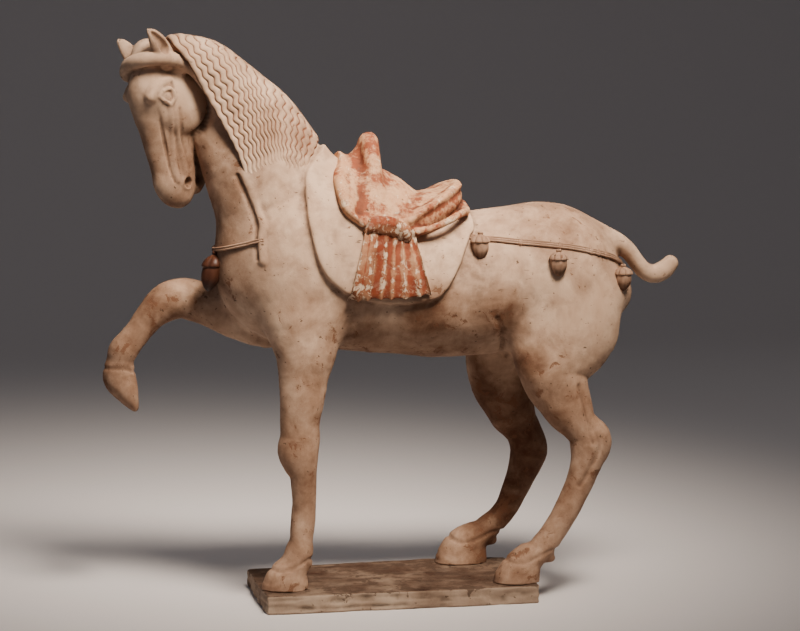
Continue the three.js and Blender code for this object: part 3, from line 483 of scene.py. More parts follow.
def spread(piece, rounds):
    # how far the surface lies inside its own smoothed shape, in mm: above 0 in a hollow
    edges = np.empty(len(piece.data.edges) * 2, np.int32)
    piece.data.edges.foreach_get("vertices", edges)
    a, b = edges.reshape(-1, 2).T
    n = len(piece.data.vertices)
    share = 1 / np.maximum(np.bincount(a, minlength=n) + np.bincount(b, minlength=n), 1)
    start = pointsOf(piece)
    soft = start.copy()
    for _ in range(rounds):
        total = [np.bincount(a, soft[b, c], n) + np.bincount(b, soft[a, c], n) for c in range(3)]
        soft = soft * 0.4 + 0.6 * np.stack(total, 1) * share[:, None]
    return ((soft - start) * normalsOf(piece)).sum(1)


def clayNoise(points, size, seed):
    # smooth random lumps of a given size in mm, between -1 and 1, for a list or a grid of points
    q = points / size + seed * 17.31
    cell = np.floor(q).astype(np.int64)
    f = q - cell
    f = f * f * (3 - 2 * f)
    total = np.zeros(points.shape[:-1])
    for corner in np.ndindex(2, 2, 2):
        at = cell + corner
        mixed = at[..., 0] * 73856093 ^ at[..., 1] * 19349663 ^ at[..., 2] * 83492791 ^ (seed * 2654435)
        mixed = (mixed * 1103515245 + 12345) & 0x7FFFFFFF
        mixed = (mixed >> 7) ^ mixed
        value = (mixed % 65536) / 32768 - 1
        total += value * np.prod(np.where(corner, f, 1 - f), -1)
    return total


def stainAndShadePatches(points, places):
    # soft patches of stain and painted shade: x, y, z, radius, strength
    most = np.zeros(len(points))
    for x, y, z, radius, strength in places:
        away = np.linalg.norm(points - [x, y, z], axis=1) / radius
        most = np.maximum(most, strength * clamp(1.3 - away))
    return most


def markClay(piece, fine=4, broad=24, fineDepth=0.22, broadDepth=0.8):
    # hollows and crests, fine and broad ones, as two attributes for the materials
    near, wide = spread(piece, fine) / fineDepth, spread(piece, broad) / broadDepth
    hollow = clamp(np.maximum(near, 0) * 0.6 + np.maximum(wide, 0) * 0.6)
    crest = clamp(np.maximum(-near, 0) * 0.6 + np.maximum(-wide, 0) * 0.3)
    setAttribute(piece, "hollow", hollow)
    setAttribute(piece, "crest", crest)
    return hollow


# The horse

headTurn = math.radians(30)
headLeft = np.array([math.sin(headTurn), -math.cos(headTurn), 0])
headFront = np.array([-math.cos(headTurn), -math.sin(headTurn), 0])
headCentre = np.array([-250, -16, 0])


def onHead(forward, sideways, height):
    point = headCentre + headFront * forward + headLeft * sideways
    return [point[0], point[1], height]


def headLimb(rows):
    return limb([[*onHead(*row[:3]), row[3], row[-1]] for row in rows], headLeft)


def headEgg(place, halfAxes, pitch=0):
    return egg(onHead(*place), halfAxes, pitch, 30)


horse = {
    "step": 1.4,
    "headStep": 0.8,
    "triangles": 196000,
    # closer lines stand between these places on x and on z, where the head is
    "headSpans": ((-300, -196), (378, 560)),
    "torso": [
        [-114, 0, 306, 56, 46], [-92, 0, 316, 80, 55], [-50, 0, 317, 87, 61], [-26, 0, 304, 77, 61],
        [7, 0, 295, 73, 61], [61, 0, 291, 71, 59], [114, 0, 296, 72, 59], [150, 0, 300, 71, 60]],
    "neck": [
        [-101, 0, 352, 62, 46], [-113.5, 0, 382, 61, 42], [-127.5, 0, 412, 56, 34], [-141, 3, 439, 50, 27],
        [-153, 7, 461, 41, 22], [-166, 9, 483, 32, 20], [-184, 5, 502, 26.5, 19], [-206, -4, 512, 21, 18]],
    "maneNeck": [
        [-102, 0, 352, 63, 46], [-115, 0, 382, 64, 42], [-128, 0, 412, 58.5, 36], [-141, 0, 439, 52.5, 31],
        [-153, 0, 461, 43, 28], [-166, 0, 483, 34, 26], [-184, -2, 502, 28.5, 24], [-206, -6, 512, 23, 22]],
    "throatHollow": [
        [-197, -17, 496, 7, 14], [-189, -14, 481, 9, 19], [-184, -13, 466, 9, 20], [-186, -12, 451, 7, 16],
        [-193, -10, 439, 5, 10]],
    "nearForeleg": [
        [-92, -34, 261, 38, 25], [-90, -36, 234, 30, 22], [-92, -36, 213, 25, 19],
        [-94, -36, 185, 21.5, 16.5], [-96, -35, 164, 19.5, 15.5], [-96, -34, 148, 19.5, 16.5],
        [-98, -34, 136, 20, 17.5], [-96, -34, 125, 17, 16], [-93, -34, 112, 13, 13],
        [-92, -33, 87, 11.8, 11.5], [-93, -33, 67, 12.2, 11.5], [-95, -33, 47, 11.5, 12.5],
        [-97, -33, 36, 13.5, 14], [-101, -33, 25, 13, 14]],
    "nearHindleg": [
        [169, -34, 250, 55, 28], [160.5, -36, 232, 45.5, 27], [153, -38, 212, 32, 25],
        [159, -39, 198, 31.5, 22], [164, -40, 186, 28, 20], [171.5, -41, 170, 24, 18],
        [179.5, -42, 157, 18.5, 16.5], [189, -43, 146, 18.5, 15.5], [194, -44, 136, 21, 15.5],
        [190, -45, 120, 16.5, 14], [184, -45, 101, 14, 12.5], [176, -45, 83, 13, 11.5],
        [167, -46, 66, 12.6, 11.5], [157, -46, 50, 12.2, 12], [146.5, -46, 36, 12.5, 13],
        [137, -46, 26, 12, 13.5]],
    "farHindleg": [
        [136, 36, 241, 45, 28], [122, 40, 219, 36, 26], [124, 43, 191, 32.5, 22], [131, 46, 170, 27, 19],
        [136, 48, 156, 24, 17.5], [142, 50, 146, 20.5, 16], [150, 52, 134, 18.5, 15.5],
        [156, 54, 117, 19, 15.5], [154, 56, 104, 17.5, 14.5], [149, 57, 90, 15, 13],
        [142, 58, 73, 13.4, 12], [135, 59, 57, 11.8, 11.5], [126, 60, 45, 11.5, 12],
        [114, 60, 35, 12.5, 13], [103, 60, 26, 12, 13.5]],
    "raisedForeleg": [
        [-120, 28, 265, 36, 25], [-149, 34, 267, 27.5, 23], [-173, 37, 272.5, 22, 20],
        [-187, 38, 276, 20.5, 18], [-200, 39, 279, 20, 17.5], [-211, 39, 277.5, 19.5, 17.5],
        [-220, 39, 273, 18, 16], [-229, 39, 266, 15.5, 14], [-237, 39, 257, 14, 12],
        [-245, 39, 247, 13, 11.5], [-253, 39, 237.5, 13.5, 12.5], [-260, 39, 228, 14.5, 14],
        [-264, 39, 216, 11.5, 12]],
    "hooves": [
        [[-101.5, -33, 22, 12.5, 13.5], [-108, -33, 12, 18, 16.5], [-111, -33, 1, 23, 19]],
        [[129, -46, 24, 14, 13.5], [123, -46, 13, 19, 16.5], [118, -46, 1, 23, 18]],
        [[98, 60, 26, 15, 13.5], [90, 60, 15, 22, 16.5], [86, 60, 1, 27, 18.5]],
        [[-264, 39, 208, 15.5, 13], [-263, 39, 200, 16, 13.5], [-257, 39, 188, 11.5, 13],
        [-251.5, 39, 177, 6.5, 10], [-249, 39, 172, 4, 8]]],
    "tail": [
        [196, 0, 345, 10, 12], [210, 0, 341, 10, 12], [222, 0, 336, 10, 12], [235, 0, 330, 8.6, 10.5],
        [245, 0, 321, 8.2, 10], [254, 0, 309, 8, 10], [263, 0, 301, 8.4, 9.5], [273, 0, 299, 9.2, 9],
        [282, 0, 303, 9.4, 8.5], [288, 0, 309, 8.4, 8]],
    "blanketOutline": [
        [-86, 411], [-91, 398], [-92, 381], [-91, 361], [-88, 343], [-83, 324], [-76, 309], [-66, 298],
        [-49, 287], [-12, 279], [29, 282], [42, 291], [50, 303], [57, 316], [64, 331], [70, 343], [76, 352],
        [76, 380], [76, 420], [-50, 470], [-60, 440]],
    "blanketThickness": 6,
    # lines of folds and grooves, x and z of the side view
    "shoulderFold": [[-150, 404], [-143, 388], [-137, 370], [-133, 355], [-135, 343], [-134, 322]],
    "crease": [[-155, 402], [-149, 387], [-143, 370], [-139, 355], [-140, 342], [-139, 324]],
    "hockGroove": [[178, 194], [183, 176], [187, 161], [189, 149], [192, 139]],
    "tendonGroove": [[190, 156], [196, 145], [198, 132], [189, 111], [179, 96]],
    "flankFold": [[96, 262], [104, 244], [112, 227], [119, 207]],
    # where a groove rings each coronet, and how much lower it is in front
    "coronets": [((-101, -33, 25), 4), ((134, -46, 26), 5), ((103, 60, 27), 5), ((-263, 39, 212), -2)],
    "vent": [[-6, 0, 219], [45, 19, 13]],
}
bothSides = (-1, 1)


def shoulders():
    return [egg([-94, 30 * side, 300], [40, 27, 66], -12) for side in bothSides]


def carvedNeck():
    # the neck draws in behind the near cheek, under the first lock
    return carve(6, limb(horse["neck"]), limb(horse["throatHollow"]))


def horseForms():
    rump = egg([162, 0, 301], [70, 59, 65])
    torso = join(16, limb(horse["torso"]), rump, egg([193, 0, 277], [53, 50, 35], -10))
    thighs = [egg([170, -30, 268], [52, 29, 66], 14), egg([146, 31, 262], [50, 28, 60], 18)]
    neckForm = join(22, torso, carvedNeck(), *shoulders())
    return neckForm, join(12, neckForm, *thighs)


head = {
    "skull": [
        [-24, 0, 516, 17, 16], [-27, 0, 501, 27, 19], [-31, 0, 486, 35, 21], [-33, 0, 472, 36, 21],
        [-34, 0, 459, 32, 20], [-36, 0, 446, 29, 18], [-39, 0, 430, 27, 15.5], [-43, 0, 411, 24.5, 14.5],
        [-46, 0, 396, 23.5, 15], [-49, 0, 385, 15, 13.5]],
    "jaw": [
        [-58, 0, 430, 8, 10], [-69, 0, 419, 5, 9], [-76, 0, 407, 4, 8.5], [-75, 0, 396, 3.8, 8.5],
        [-69, 0, 387, 4, 8.5]],
    "hairRoll": [
        [-62, 29, 488, 5.5, 5], [-52, 28.5, 499, 6, 5.5], [-40, 27, 508, 6.5, 6], [-26, 26, 513, 6.8, 6.5],
        [-13, 23, 514, 7, 6.5], [-3, 16, 513, 7, 6.5], [2, 7, 511, 7, 6.5], [3, -4, 508, 7, 6.5],
        [0, -13, 504, 7.5, 7], [-6, -20, 499, 8, 7.5], [-16, -24, 497, 7, 6]],
    # what both sides have, as it lies on the left: forward, sideways, height and one or two radii
    "brow": [[-4, 19, 477, 5], [-9.5, 20.5, 485, 4.8, 4.6], [-16, 20.5, 490.5, 4, 3.8], [-24, 20.5, 493, 3]],
    # the upper and the lower lid, then the front and the back ridge that run down from the eye
    "raised": [
        [[-11, 23.6, 478.5, 1.4], [-16, 24.6, 484, 2], [-23.5, 24.8, 485, 2.2], [-27, 25.3, 479, 2],
        [-26, 25.3, 474, 1.8], [-23.5, 24.8, 470.5, 1.6]],
        [[-11, 23.4, 478, 1.2], [-16, 24.4, 474, 1.5], [-20, 24.9, 472, 1.6], [-23, 24.9, 470.5, 1.8]],
        [[-23.5, 23.4, 470, 2.6], [-25.5, 21.8, 457, 2.6], [-30, 16.4, 443, 2.6], [-33, 13.8, 429, 2.6],
        [-35, 12.6, 417, 2.6], [-39, 13, 397, 2.6]],
        [[-30, 24, 478, 2], [-30, 24, 465, 2.4], [-32, 21.8, 453, 2.6], [-40, 14.6, 430, 2.8],
        [-46, 13.2, 415, 2.8], [-49, 12.8, 403, 3]]],
    "ear": [
        [-23, 19, 511, 9, 6.5], [-18, 22, 518.5, 9.6, 6], [-11, 23.5, 527, 9, 5], [-4, 24.5, 535, 6, 3.6],
        [1.5, 24.5, 539.4, 2.2, 1.8]],
    "earHollow": [
        [-15.5, 28, 523, 5.6, 5.2], [-10, 28.5, 528.5, 5, 4.8], [-3.5, 28, 535, 3.2, 3.8],
        [-0.5, 27.5, 538, 1.6, 2]],
    "farEarDrop": 9,
    # three grooves down the face and one over the eye
    "grooves": [
        [[-9, 22.4, 470, 1.2], [-15.7, 17.9, 455, 1.6], [-24, 13.4, 432, 1.8], [-30, 12.2, 410, 1.7],
        [-35, 13.6, 396, 1.4]],
        [[-33, 27.4, 466, 1.8], [-36, 24.6, 451, 2], [-43, 17.6, 436, 2], [-49, 15.2, 421, 1.8],
        [-54, 14.4, 409, 1.6]],
        [[-54, 24.6, 451, 1.5], [-50, 21.2, 444, 1.9], [-52, 15.6, 437, 1.7], [-53, 14.4, 429, 1.2]],
        [[-26, 25, 490.5, 2.4], [-27, 25.6, 487, 2.2]]],
}


def headSide(rows, side, drop=0):
    return headLimb([[row[0], row[1] * side, row[2] - drop, *row[3:]] for row in rows])


def headForm():
    poll = headEgg([-15, 0, 513], [17, 17, 20])
    forehead = headEgg([-15, 0, 480], [18, 24, 20])
    cheeks = [headEgg([-42, 17 * side, 471], [28.5, 10, 28.5]) for side in bothSides]
    brows = [headSide(head["brow"], side) for side in bothSides]
    face = join(4, join(8, headLimb(head["skull"]), forehead), *cheeks, *brows, headLimb(head["jaw"]))
    face = join(2, face, headLimb(head["hairRoll"]), poll)
    lids, cuts = [], []
    for side in bothSides:
        # on the head, 1 is the near side; the far ear sits lower
        drop = head["farEarDrop"] if side < 0 else 0
        lids.append(headEgg([-18, 21.5 * side, 479], [6.4, 4.4, 4.6], 12))
        lids += [headSide(rows, side) for rows in head["raised"]]
        lids += [headSide(head["ear"], side, drop), headEgg([-49, 13 * side, 395], [7, 4, 7.5])]
        # nostril, mouth and the inside of the ear
        cuts += [headEgg([-50.4, 16 * side, 395], [5, 7.5, 5.4]),
                 headEgg([-68, 10 * side, 404], [5.5, 10, 14], 16), headSide(head["earHollow"], side, drop)]
        cuts += [headSide(rows, side) for rows in head["grooves"]]
    return carve(1.2, join(1.6, face, *lids), *cuts)


def tube(points, radius):
    return limb([[*point, radius, radius] for point in points])


def groove(shape, places, side, radius, height=0.6, core=0.0):
    return tube(onFlank(shape, places, side, height, core), radius)


neckForm, trunk = horseForms()
blanket = layer(trunk, horse["blanketThickness"], horse["blanketOutline"], 3)


def ringGroove(shape, centre, tilt):
    # a groove round a leg, lower in front by the tilt
    turns = np.linspace(0, 2 * np.pi, 17)[:, None]
    circle = np.array(centre) + np.cos(turns) * [25, 0, tilt] + np.sin(turns) * [0, 25, 0]
    return tube(settle(shape, circle, 0.4), 1.4)


def horseForm():
    legs = [limb(horse[name]) for name in ("nearForeleg", "nearHindleg", "farHindleg", "raisedForeleg")]
    hooves = [limb(rows) for rows in horse["hooves"]]
    spurs = [egg([-92, -33, 25], [8, 5, 6], 20), egg([149, -46, 24], [9, 6, 6], 20),
             egg([115, 60, 23], [9, 6, 6], 20)]
    folds = [groove(trunk, horse["shoulderFold"], side, 4, -1.6) for side in bothSides]
    body = join(10, join(4, trunk, *folds), *legs, limb(horse["tail"]))
    whole = join(4, body, join(2.5, headForm(), carvedNeck()), blanket, *hooves, *spurs)
    cuts = [egg(*horse["vent"])]
    cuts += [groove(trunk, horse["crease"], side, 2.1, 1) for side in bothSides]
    # the grooves of the standing hind leg start from that leg's own middle
    cuts.append(groove(body, horse["hockGroove"], -1, 2.4, 0.8, -42))
    cuts.append(groove(body, horse["tendonGroove"], -1, 2.4, 0.8, -43))
    cuts.append(groove(body, horse["flankFold"], -1, 3, 1.4, -36))
    cuts += [ringGroove(whole, centre, tilt) for centre, tilt in horse["coronets"]]
    return carve(2.5, whole, *cuts)


horseShape = horseForm()
print("horse forms ready")


def horseLines():
    low, high, step, fine = horseShape.low, horseShape.high, horse["step"], horse["headStep"]
    spanX, spanZ = horse["headSpans"]
    return [gridPlaces(low[0], high[0], step, *spanX, fine),
            gridPlaces(low[1], high[1], (step + fine) / 2),
            gridPlaces(low[2], high[2], step, *spanZ, fine)]


def makeHorse():
    points, quads = skinOf(horseShape, horseLines())
    piece = meshObject("horse_clay", points, quads)
    print("horse skin", len(quads), "quads")
    thinOut(piece, horse["triangles"])
    points = pointsOf(piece)
    # lumps left by the hand, in three sizes; the soles stay flat
    soles = points[:, 2] < 1.5
    lumps = 0.5 * clayNoise(points, 26, 3) + 0.28 * clayNoise(points, 9, 5)
    lumps += 0.12 * clayNoise(points, 4, 8)
    points += normalsOf(piece) * np.where(soles, 0, lumps)[:, None]
    points[:, 2] = np.maximum(points[:, 2], 0)
    # no lump stands out of the part's own box
    low, high = (np.array(corner) * 1000 - [0, 0, soleHeight] for corner in cadBox)
    movePoints(piece, np.clip(points, low + 0.05, high - 0.05))
    markClay(piece, 4, 24, 0.22, 1.1)
    return piece


horsePiece = makeHorse()

# Materials

# Matt white slip brushed over fired earthenware. It gives the eye a chalky cream skin with a faint brush
# drag, filmed over with brown where it is handled and where shade is painted, and chipped through to the
# clay.
slipLook = {
    "slip": "#d2b499", "thinSlip": "#ae8b70", "film": "#7d5a42", "clay": "#6f4830", "dirtAndShade": "#523524",
    "wash": "#a58a76", "speck": "#46301f", "toneSize": 55, "brushSize": 13, "filmSize": 30, "wearSize": 15,
    "dirtAndShadeSize": 8, "speckSize": 4.2, "grain": 0.9, "wear": 0.655, "roughness": 0.84, "dirtAndShadeShare": 0.6,
    "pigmentShare": 0.8,
}


def mixColours(tree, factor, first, second, kind="MIX"):
    # of this node's inputs, 0 is the share, 6 and 7 are the colours
    settings = {"data_type": "RGBA", "blend_type": kind}
    return addNode(tree, "ShaderNodeMix", settings, {0: factor, 6: first, 7: second}).outputs[2]


def math2(tree, operation, a, b=0.0):
    return addNode(tree, "ShaderNodeMath", {"operation": operation}, {0: a, 1: b}).outputs[0]


def slipMaterial(name, look):
    material, tree = newMaterial(name)
    place = addNode(tree, "ShaderNodeTexCoord").outputs["Object"]
    pick = lambda key: addNode(tree, "ShaderNodeAttribute", {"attribute_name": key}).outputs["Fac"]
    times = lambda a, b: math2(tree, "MULTIPLY", a, b)
    plus = lambda a, b: math2(tree, "ADD", a, b)

    def noise(size, detail=4, roughness=0.55, vector=None, distortion=0.0):
        links = {"Vector": vector or place, "Scale": 1000 / size, "Detail": detail,
                 "Roughness": roughness, "Distortion": distortion}
        return addNode(tree, "ShaderNodeTexNoise", None, links).outputs["Fac"]

    def ramp(value, low, high):
        links = {"Value": value, "From Min": low, "From Max": high}
        return addNode(tree, "ShaderNodeMapRange", {"clamp": True}, links).outputs["Result"]

    def drawnOut(rotation, scale):
        links = {"Vector": place, "Rotation": rotation, "Scale": scale}
        return addNode(tree, "ShaderNodeMapping", None, links).outputs[0]

    def paint(under, share, tint, kind="MIX"):
        return mixColours(tree, share, under, linear(look[tint]), kind)

    tone = ramp(noise(look["toneSize"], 4, 0.6), 0.35, 0.68)
    brushed = drawnOut((0.2, 0.5, 0.9), (1, 1, 0.28))
    streak = ramp(noise(look["brushSize"], 6, 0.65, brushed), 0.4, 0.72)
    colour = paint(linear(look["slip"]), times(tone, 0.6), "thinSlip")
    colour = paint(colour, times(streak, 0.45), "thinSlip")
    # a brown film, soft at its edges, thicker where the piece is soiled and where shade is painted
    blotch = plus(noise(look["filmSize"], 8, 0.66, None, 0.3), times(pick("wornAndShaded"), 0.42))
    colour = paint(colour, times(ramp(blotch, 0.5, 0.86), 0.88), "film")
    # a brown wash of soil over the worn parts, which also paints shade where the attribute marks it
    soiledAndShaded = times(pick("wornAndShaded"), ramp(noise(24, 7, 0.62, None, 0.4), 0.3, 0.62))
    colour = paint(colour, soiledAndShaded, "wash", "MULTIPLY")
    # small chips down to the bare clay
    wornAndShaded = plus(noise(look["wearSize"], 9, 0.7, None, 0.5), times(pick("wornAndShaded"), 0.1))
    wornAndShaded = plus(wornAndShaded, times(pick("crest"), 0.04))
    bare = ramp(wornAndShaded, look["wear"], look["wear"] + 0.035)
    colour = paint(colour, times(bare, 0.8), "clay")
    # red or brown pigment left on the surface
    if "pigment" in look:
        left = plus(noise(6, 7, 0.7), times(pick("pigment"), 0.55))
        colour = paint(colour, times(ramp(left, 0.72, 0.92), look["pigmentShare"]), "pigment")
    # dirt and painted shade in the hollows
    hollowDirtAndShade = times(pick("hollow"), ramp(noise(look["dirtAndShadeSize"], 5, 0.6), 0.2, 0.62))
    colour = paint(colour, times(hollowDirtAndShade, look["dirtAndShadeShare"]), "dirtAndShade")
    # dark specks and short scratches
    speck = ramp(noise(look["speckSize"], 2, 0.4), 0.71, 0.76)
    stretched = drawnOut((0.9, 0.3, 0.5), (0.22, 1, 1))
    scratch = times(ramp(noise(3.2, 2, 0.5, stretched), 0.7, 0.74), ramp(noise(40, 2), 0.5, 0.6))
    marks = math2(tree, "MAXIMUM", speck, scratch)
    colour = paint(colour, times(marks, 0.75), "speck")
    # the slip layer stands a little proud of the clay, over a fine sandy grain
    height = plus(times(bare, -0.5), times(noise(look["grain"], 3, 0.6), 0.35))
    height = plus(height, times(marks, -0.6))
    height = plus(height, times(noise(7, 4), 0.6))
    bump = addNode(tree, "ShaderNodeBump", None, {"Height": height, "Strength": 0.55, "Distance": 0.0007})
    shader = addNode(tree, "ShaderNodeBsdfPrincipled", None, {
        "Base Color": colour, "Roughness": look["roughness"], "IOR": 1.5, "Specular IOR Level": 0.3,
        "Normal": bump.outputs[0]})
    addNode(tree, "ShaderNodeOutputMaterial", None, {"Surface": shader.outputs[0]})
    return material


bodySlip = slipMaterial("white_slip_over_fired_clay", slipLook)
# red ochre and soil left between the combed locks, with painted shade in the grooves, which makes dark lines
# in the cream
maneSlip = slipMaterial("slip_with_red_ochre_in_grooves", {
    **slipLook, "pigment": "#7c3d22", "wearSize": 10, "dirtAndShadeShare": 0.9})
# red earth over slip, rubbed through to small pale patches, with near-black dirt and painted shade in the
# hollows
saddleRed = slipMaterial("rubbed_red_earth_over_slip", {
    **slipLook, "slip": "#cba47f", "thinSlip": "#b87d59", "film": "#925031", "clay": "#dcc5a8",
    "pigment": "#7c3319", "filmSize": 9, "wearSize": 8, "wear": 0.59, "pigmentShare": 0.86,
    "dirtAndShade": "#3a2016", "dirtAndShadeShare": 0.95})
# grey-brown clay with only traces of slip, which keeps the slab darker than the horse
slabClay = slipMaterial("bare_fired_clay_with_slip_traces", {
    **slipLook, "slip": "#a5917c", "thinSlip": "#8a7360", "film": "#6a5342", "clay": "#4a372a",
    "wash": "#8a6a52", "wear": 0.6, "dirtAndShade": "#2c1e17"})
# the horse's slip, dulled by soil, with dirt and painted shade between cords and petals
tasselSlip = slipMaterial("soiled_slip_over_clay", {
    **slipLook, "slip": "#b89a82", "wash": "#86654f", "dirtAndShadeShare": 0.9})
# dark brown paint with a faint sheen, for the tassel on the breast
brownPaint = slipMaterial("dark_brown_paint_over_clay", {
    **slipLook, "slip": "#4f2d1e", "thinSlip": "#66402c", "film": "#3b2117", "clay": "#86654c",
    "dirtAndShade": "#1f120c", "roughness": 0.4})
print("materials ready")

# Ridges over a sheet of clay: mane locks, pleats, strap cords and tassel petals


def newTree(name, numbers):
    tree = bpy.data.node_groups.new(name, "GeometryNodeTree")
    inputs = [("Geometry", "Geometry"), *[(number, "Float") for number in numbers], ("Finish", "Material")]
    for label, kind in inputs:
        tree.interface.new_socket(label, in_out="INPUT", socket_type="NodeSocket" + kind)
    tree.interface.new_socket("Geometry", in_out="OUTPUT", socket_type="NodeSocketGeometry")
    return tree, addNode(tree, "NodeGroupInput").outputs


def closeTree(tree, geometry, finish):
    real = addNode(tree, "GeometryNodeRealizeInstances", None, {"Geometry": geometry})
    done = addNode(tree, "GeometryNodeSetMaterial", None, {"Geometry": real.outputs[0], "Material": finish})
    addNode(tree, "NodeGroupOutput", None, {"Geometry": done.outputs[0]})


def named(tree, key, kind="FLOAT_VECTOR"):
    node = addNode(tree, "GeometryNodeInputNamedAttribute", {"data_type": kind}, {"Name": key})
    return node.outputs["Attribute"]


def ridgeTree():
    tree, given = newTree("ridges_over_a_sheet", ("Ridges", "Height", "Rounding"))
    times = lambda a, b: math2(tree, "MULTIPLY", a, b)
    turns = times(times(named(tree, "across", "FLOAT"), given["Ridges"]), math.pi)
    wave = math2(tree, "ABSOLUTE", math2(tree, "SINE", turns))
    ridge = math2(tree, "POWER", wave, given["Rounding"])
    lift = times(times(ridge, given["Height"]), named(tree, "lift", "FLOAT"))
    offset = addNode(tree, "ShaderNodeVectorMath", {"operation": "SCALE"},
                     {0: named(tree, "outward"), "Scale": lift}).outputs[0]
    moved = addNode(tree, "GeometryNodeSetPosition", None, {"Geometry": given["Geometry"], "Offset": offset})
    stored = addNode(tree, "GeometryNodeStoreNamedAttribute", {"data_type": "FLOAT", "domain": "POINT"},
                     {"Geometry": moved.outputs[0], "Name": "ridge", "Value": ridge})
    closeTree(tree, stored.outputs[0], given["Finish"])
    return tree


ridgesOverSheet = ridgeTree()


def runNodes(piece, tree, values):
    modifier = piece.modifiers.new("clay_nodes", "NODES")
    modifier.node_group = tree
    for item in tree.interface.items_tree:
        if item.in_out == "INPUT" and item.name in values:
            modifier[item.identifier] = values[item.name]
    finishedMesh(piece)


def closedSheet(name, outer, inner, across, lift):
    # outer and inner are grids of points, rows by columns; the sheet is closed all round
    rows, columns = outer.shape[:2]
    points = np.concatenate([outer.reshape(-1, 3), inner.reshape(-1, 3)])
    number = np.arange(rows * columns).reshape(rows, columns)
    below = number + rows * columns

    def quads(a, b, c, d):
        return np.stack([a.ravel(), b.ravel(), c.ravel(), d.ravel()], 1)

    faces = [quads(number[:-1, :-1], number[1:, :-1], number[1:, 1:], number[:-1, 1:]),
             quads(below[:-1, :-1], below[:-1, 1:], below[1:, 1:], below[1:, :-1])]
    border = np.concatenate([number[0, :-1], number[:-1, -1], number[-1, :0:-1], number[:0:-1, 0]])
    following = np.roll(border, -1)
    faces.append(np.stack([border, following, following + rows * columns, border + rows * columns], 1))
    faces = np.concatenate(faces)
    a, b, c, d = (points[faces[:, i]] for i in range(4))
    volume = (a * np.cross(b, c)).sum() + (a * np.cross(c, d)).sum()
    if volume < 0:
        faces = faces[:, ::-1]
    piece = meshObject(name, points, faces)
    outward = unit((outer - inner).reshape(-1, 3))
    zero = np.zeros(rows * columns)
    setAttribute(piece, "across", np.concatenate([across.ravel(), across.ravel()]))
    setAttribute(piece, "lift", np.concatenate([lift.ravel(), zero]))
    setAttribute(piece, "outward", np.concatenate([outward, outward]), "FLOAT_VECTOR")
    return piece


def sampleGrid(grid, u, v):
    # reads a grid of points between its rows (u) and columns (v), both 0 to 1
    rows, columns = grid.shape[:2]
    x, y = clamp(u) * (rows - 1), clamp(v) * (columns - 1)
    i, j = np.minimum(x.astype(int), rows - 2), np.minimum(y.astype(int), columns - 2)
    f, g = (x - i)[..., None], (y - j)[..., None]
    top = grid[i, j] * (1 - g) + grid[i, j + 1] * g
    bottom = grid[i + 1, j] * (1 - g) + grid[i + 1, j + 1] * g
    return top * (1 - f) + bottom * f


mane = {
    # places x, z down each lock line, from the poll to the withers
    "locks": [
        [[-222, 537], [-213, 524], [-199, 506], [-184, 481], [-168, 451], [-155, 424], [-149, 404]],
        [[-203, 540], [-194, 526], [-184, 511], [-169, 486], [-155, 457], [-144, 430], [-138, 404]],
        [[-182, 539], [-175, 528], [-168, 516], [-154, 492], [-143, 462], [-134, 431], [-128, 404]],
        [[-148, 526], [-142, 510], [-138, 494], [-131, 474], [-125, 452], [-120, 429], [-117, 404]],
        [[-110, 492], [-108, 478], [-108, 464], [-108, 450], [-108, 436], [-108, 421], [-107, 404]],
        [[-88, 467], [-88, 457], [-90, 448], [-93, 438], [-95, 427], [-96, 416], [-97, 405]],
        [[-70, 439], [-73, 434], [-77, 428], [-81, 422], [-85, 417], [-88, 411], [-90, 407]]],
    "nearCount": 17, "farCount": 12, "base": 0.2, "ridge": 2.6, "sunk": -13, "plainCrest": 5,
    "wavePitch": 12.5, "wave": 0.2, "firstLock": 2.6, "measuredRows": (14, -1),
    "stepsPerLock": 10, "stepsDown": 260,
}
maneGround = join(22, limb(horse["torso"]), limb(horse["maneNeck"]), *shoulders())


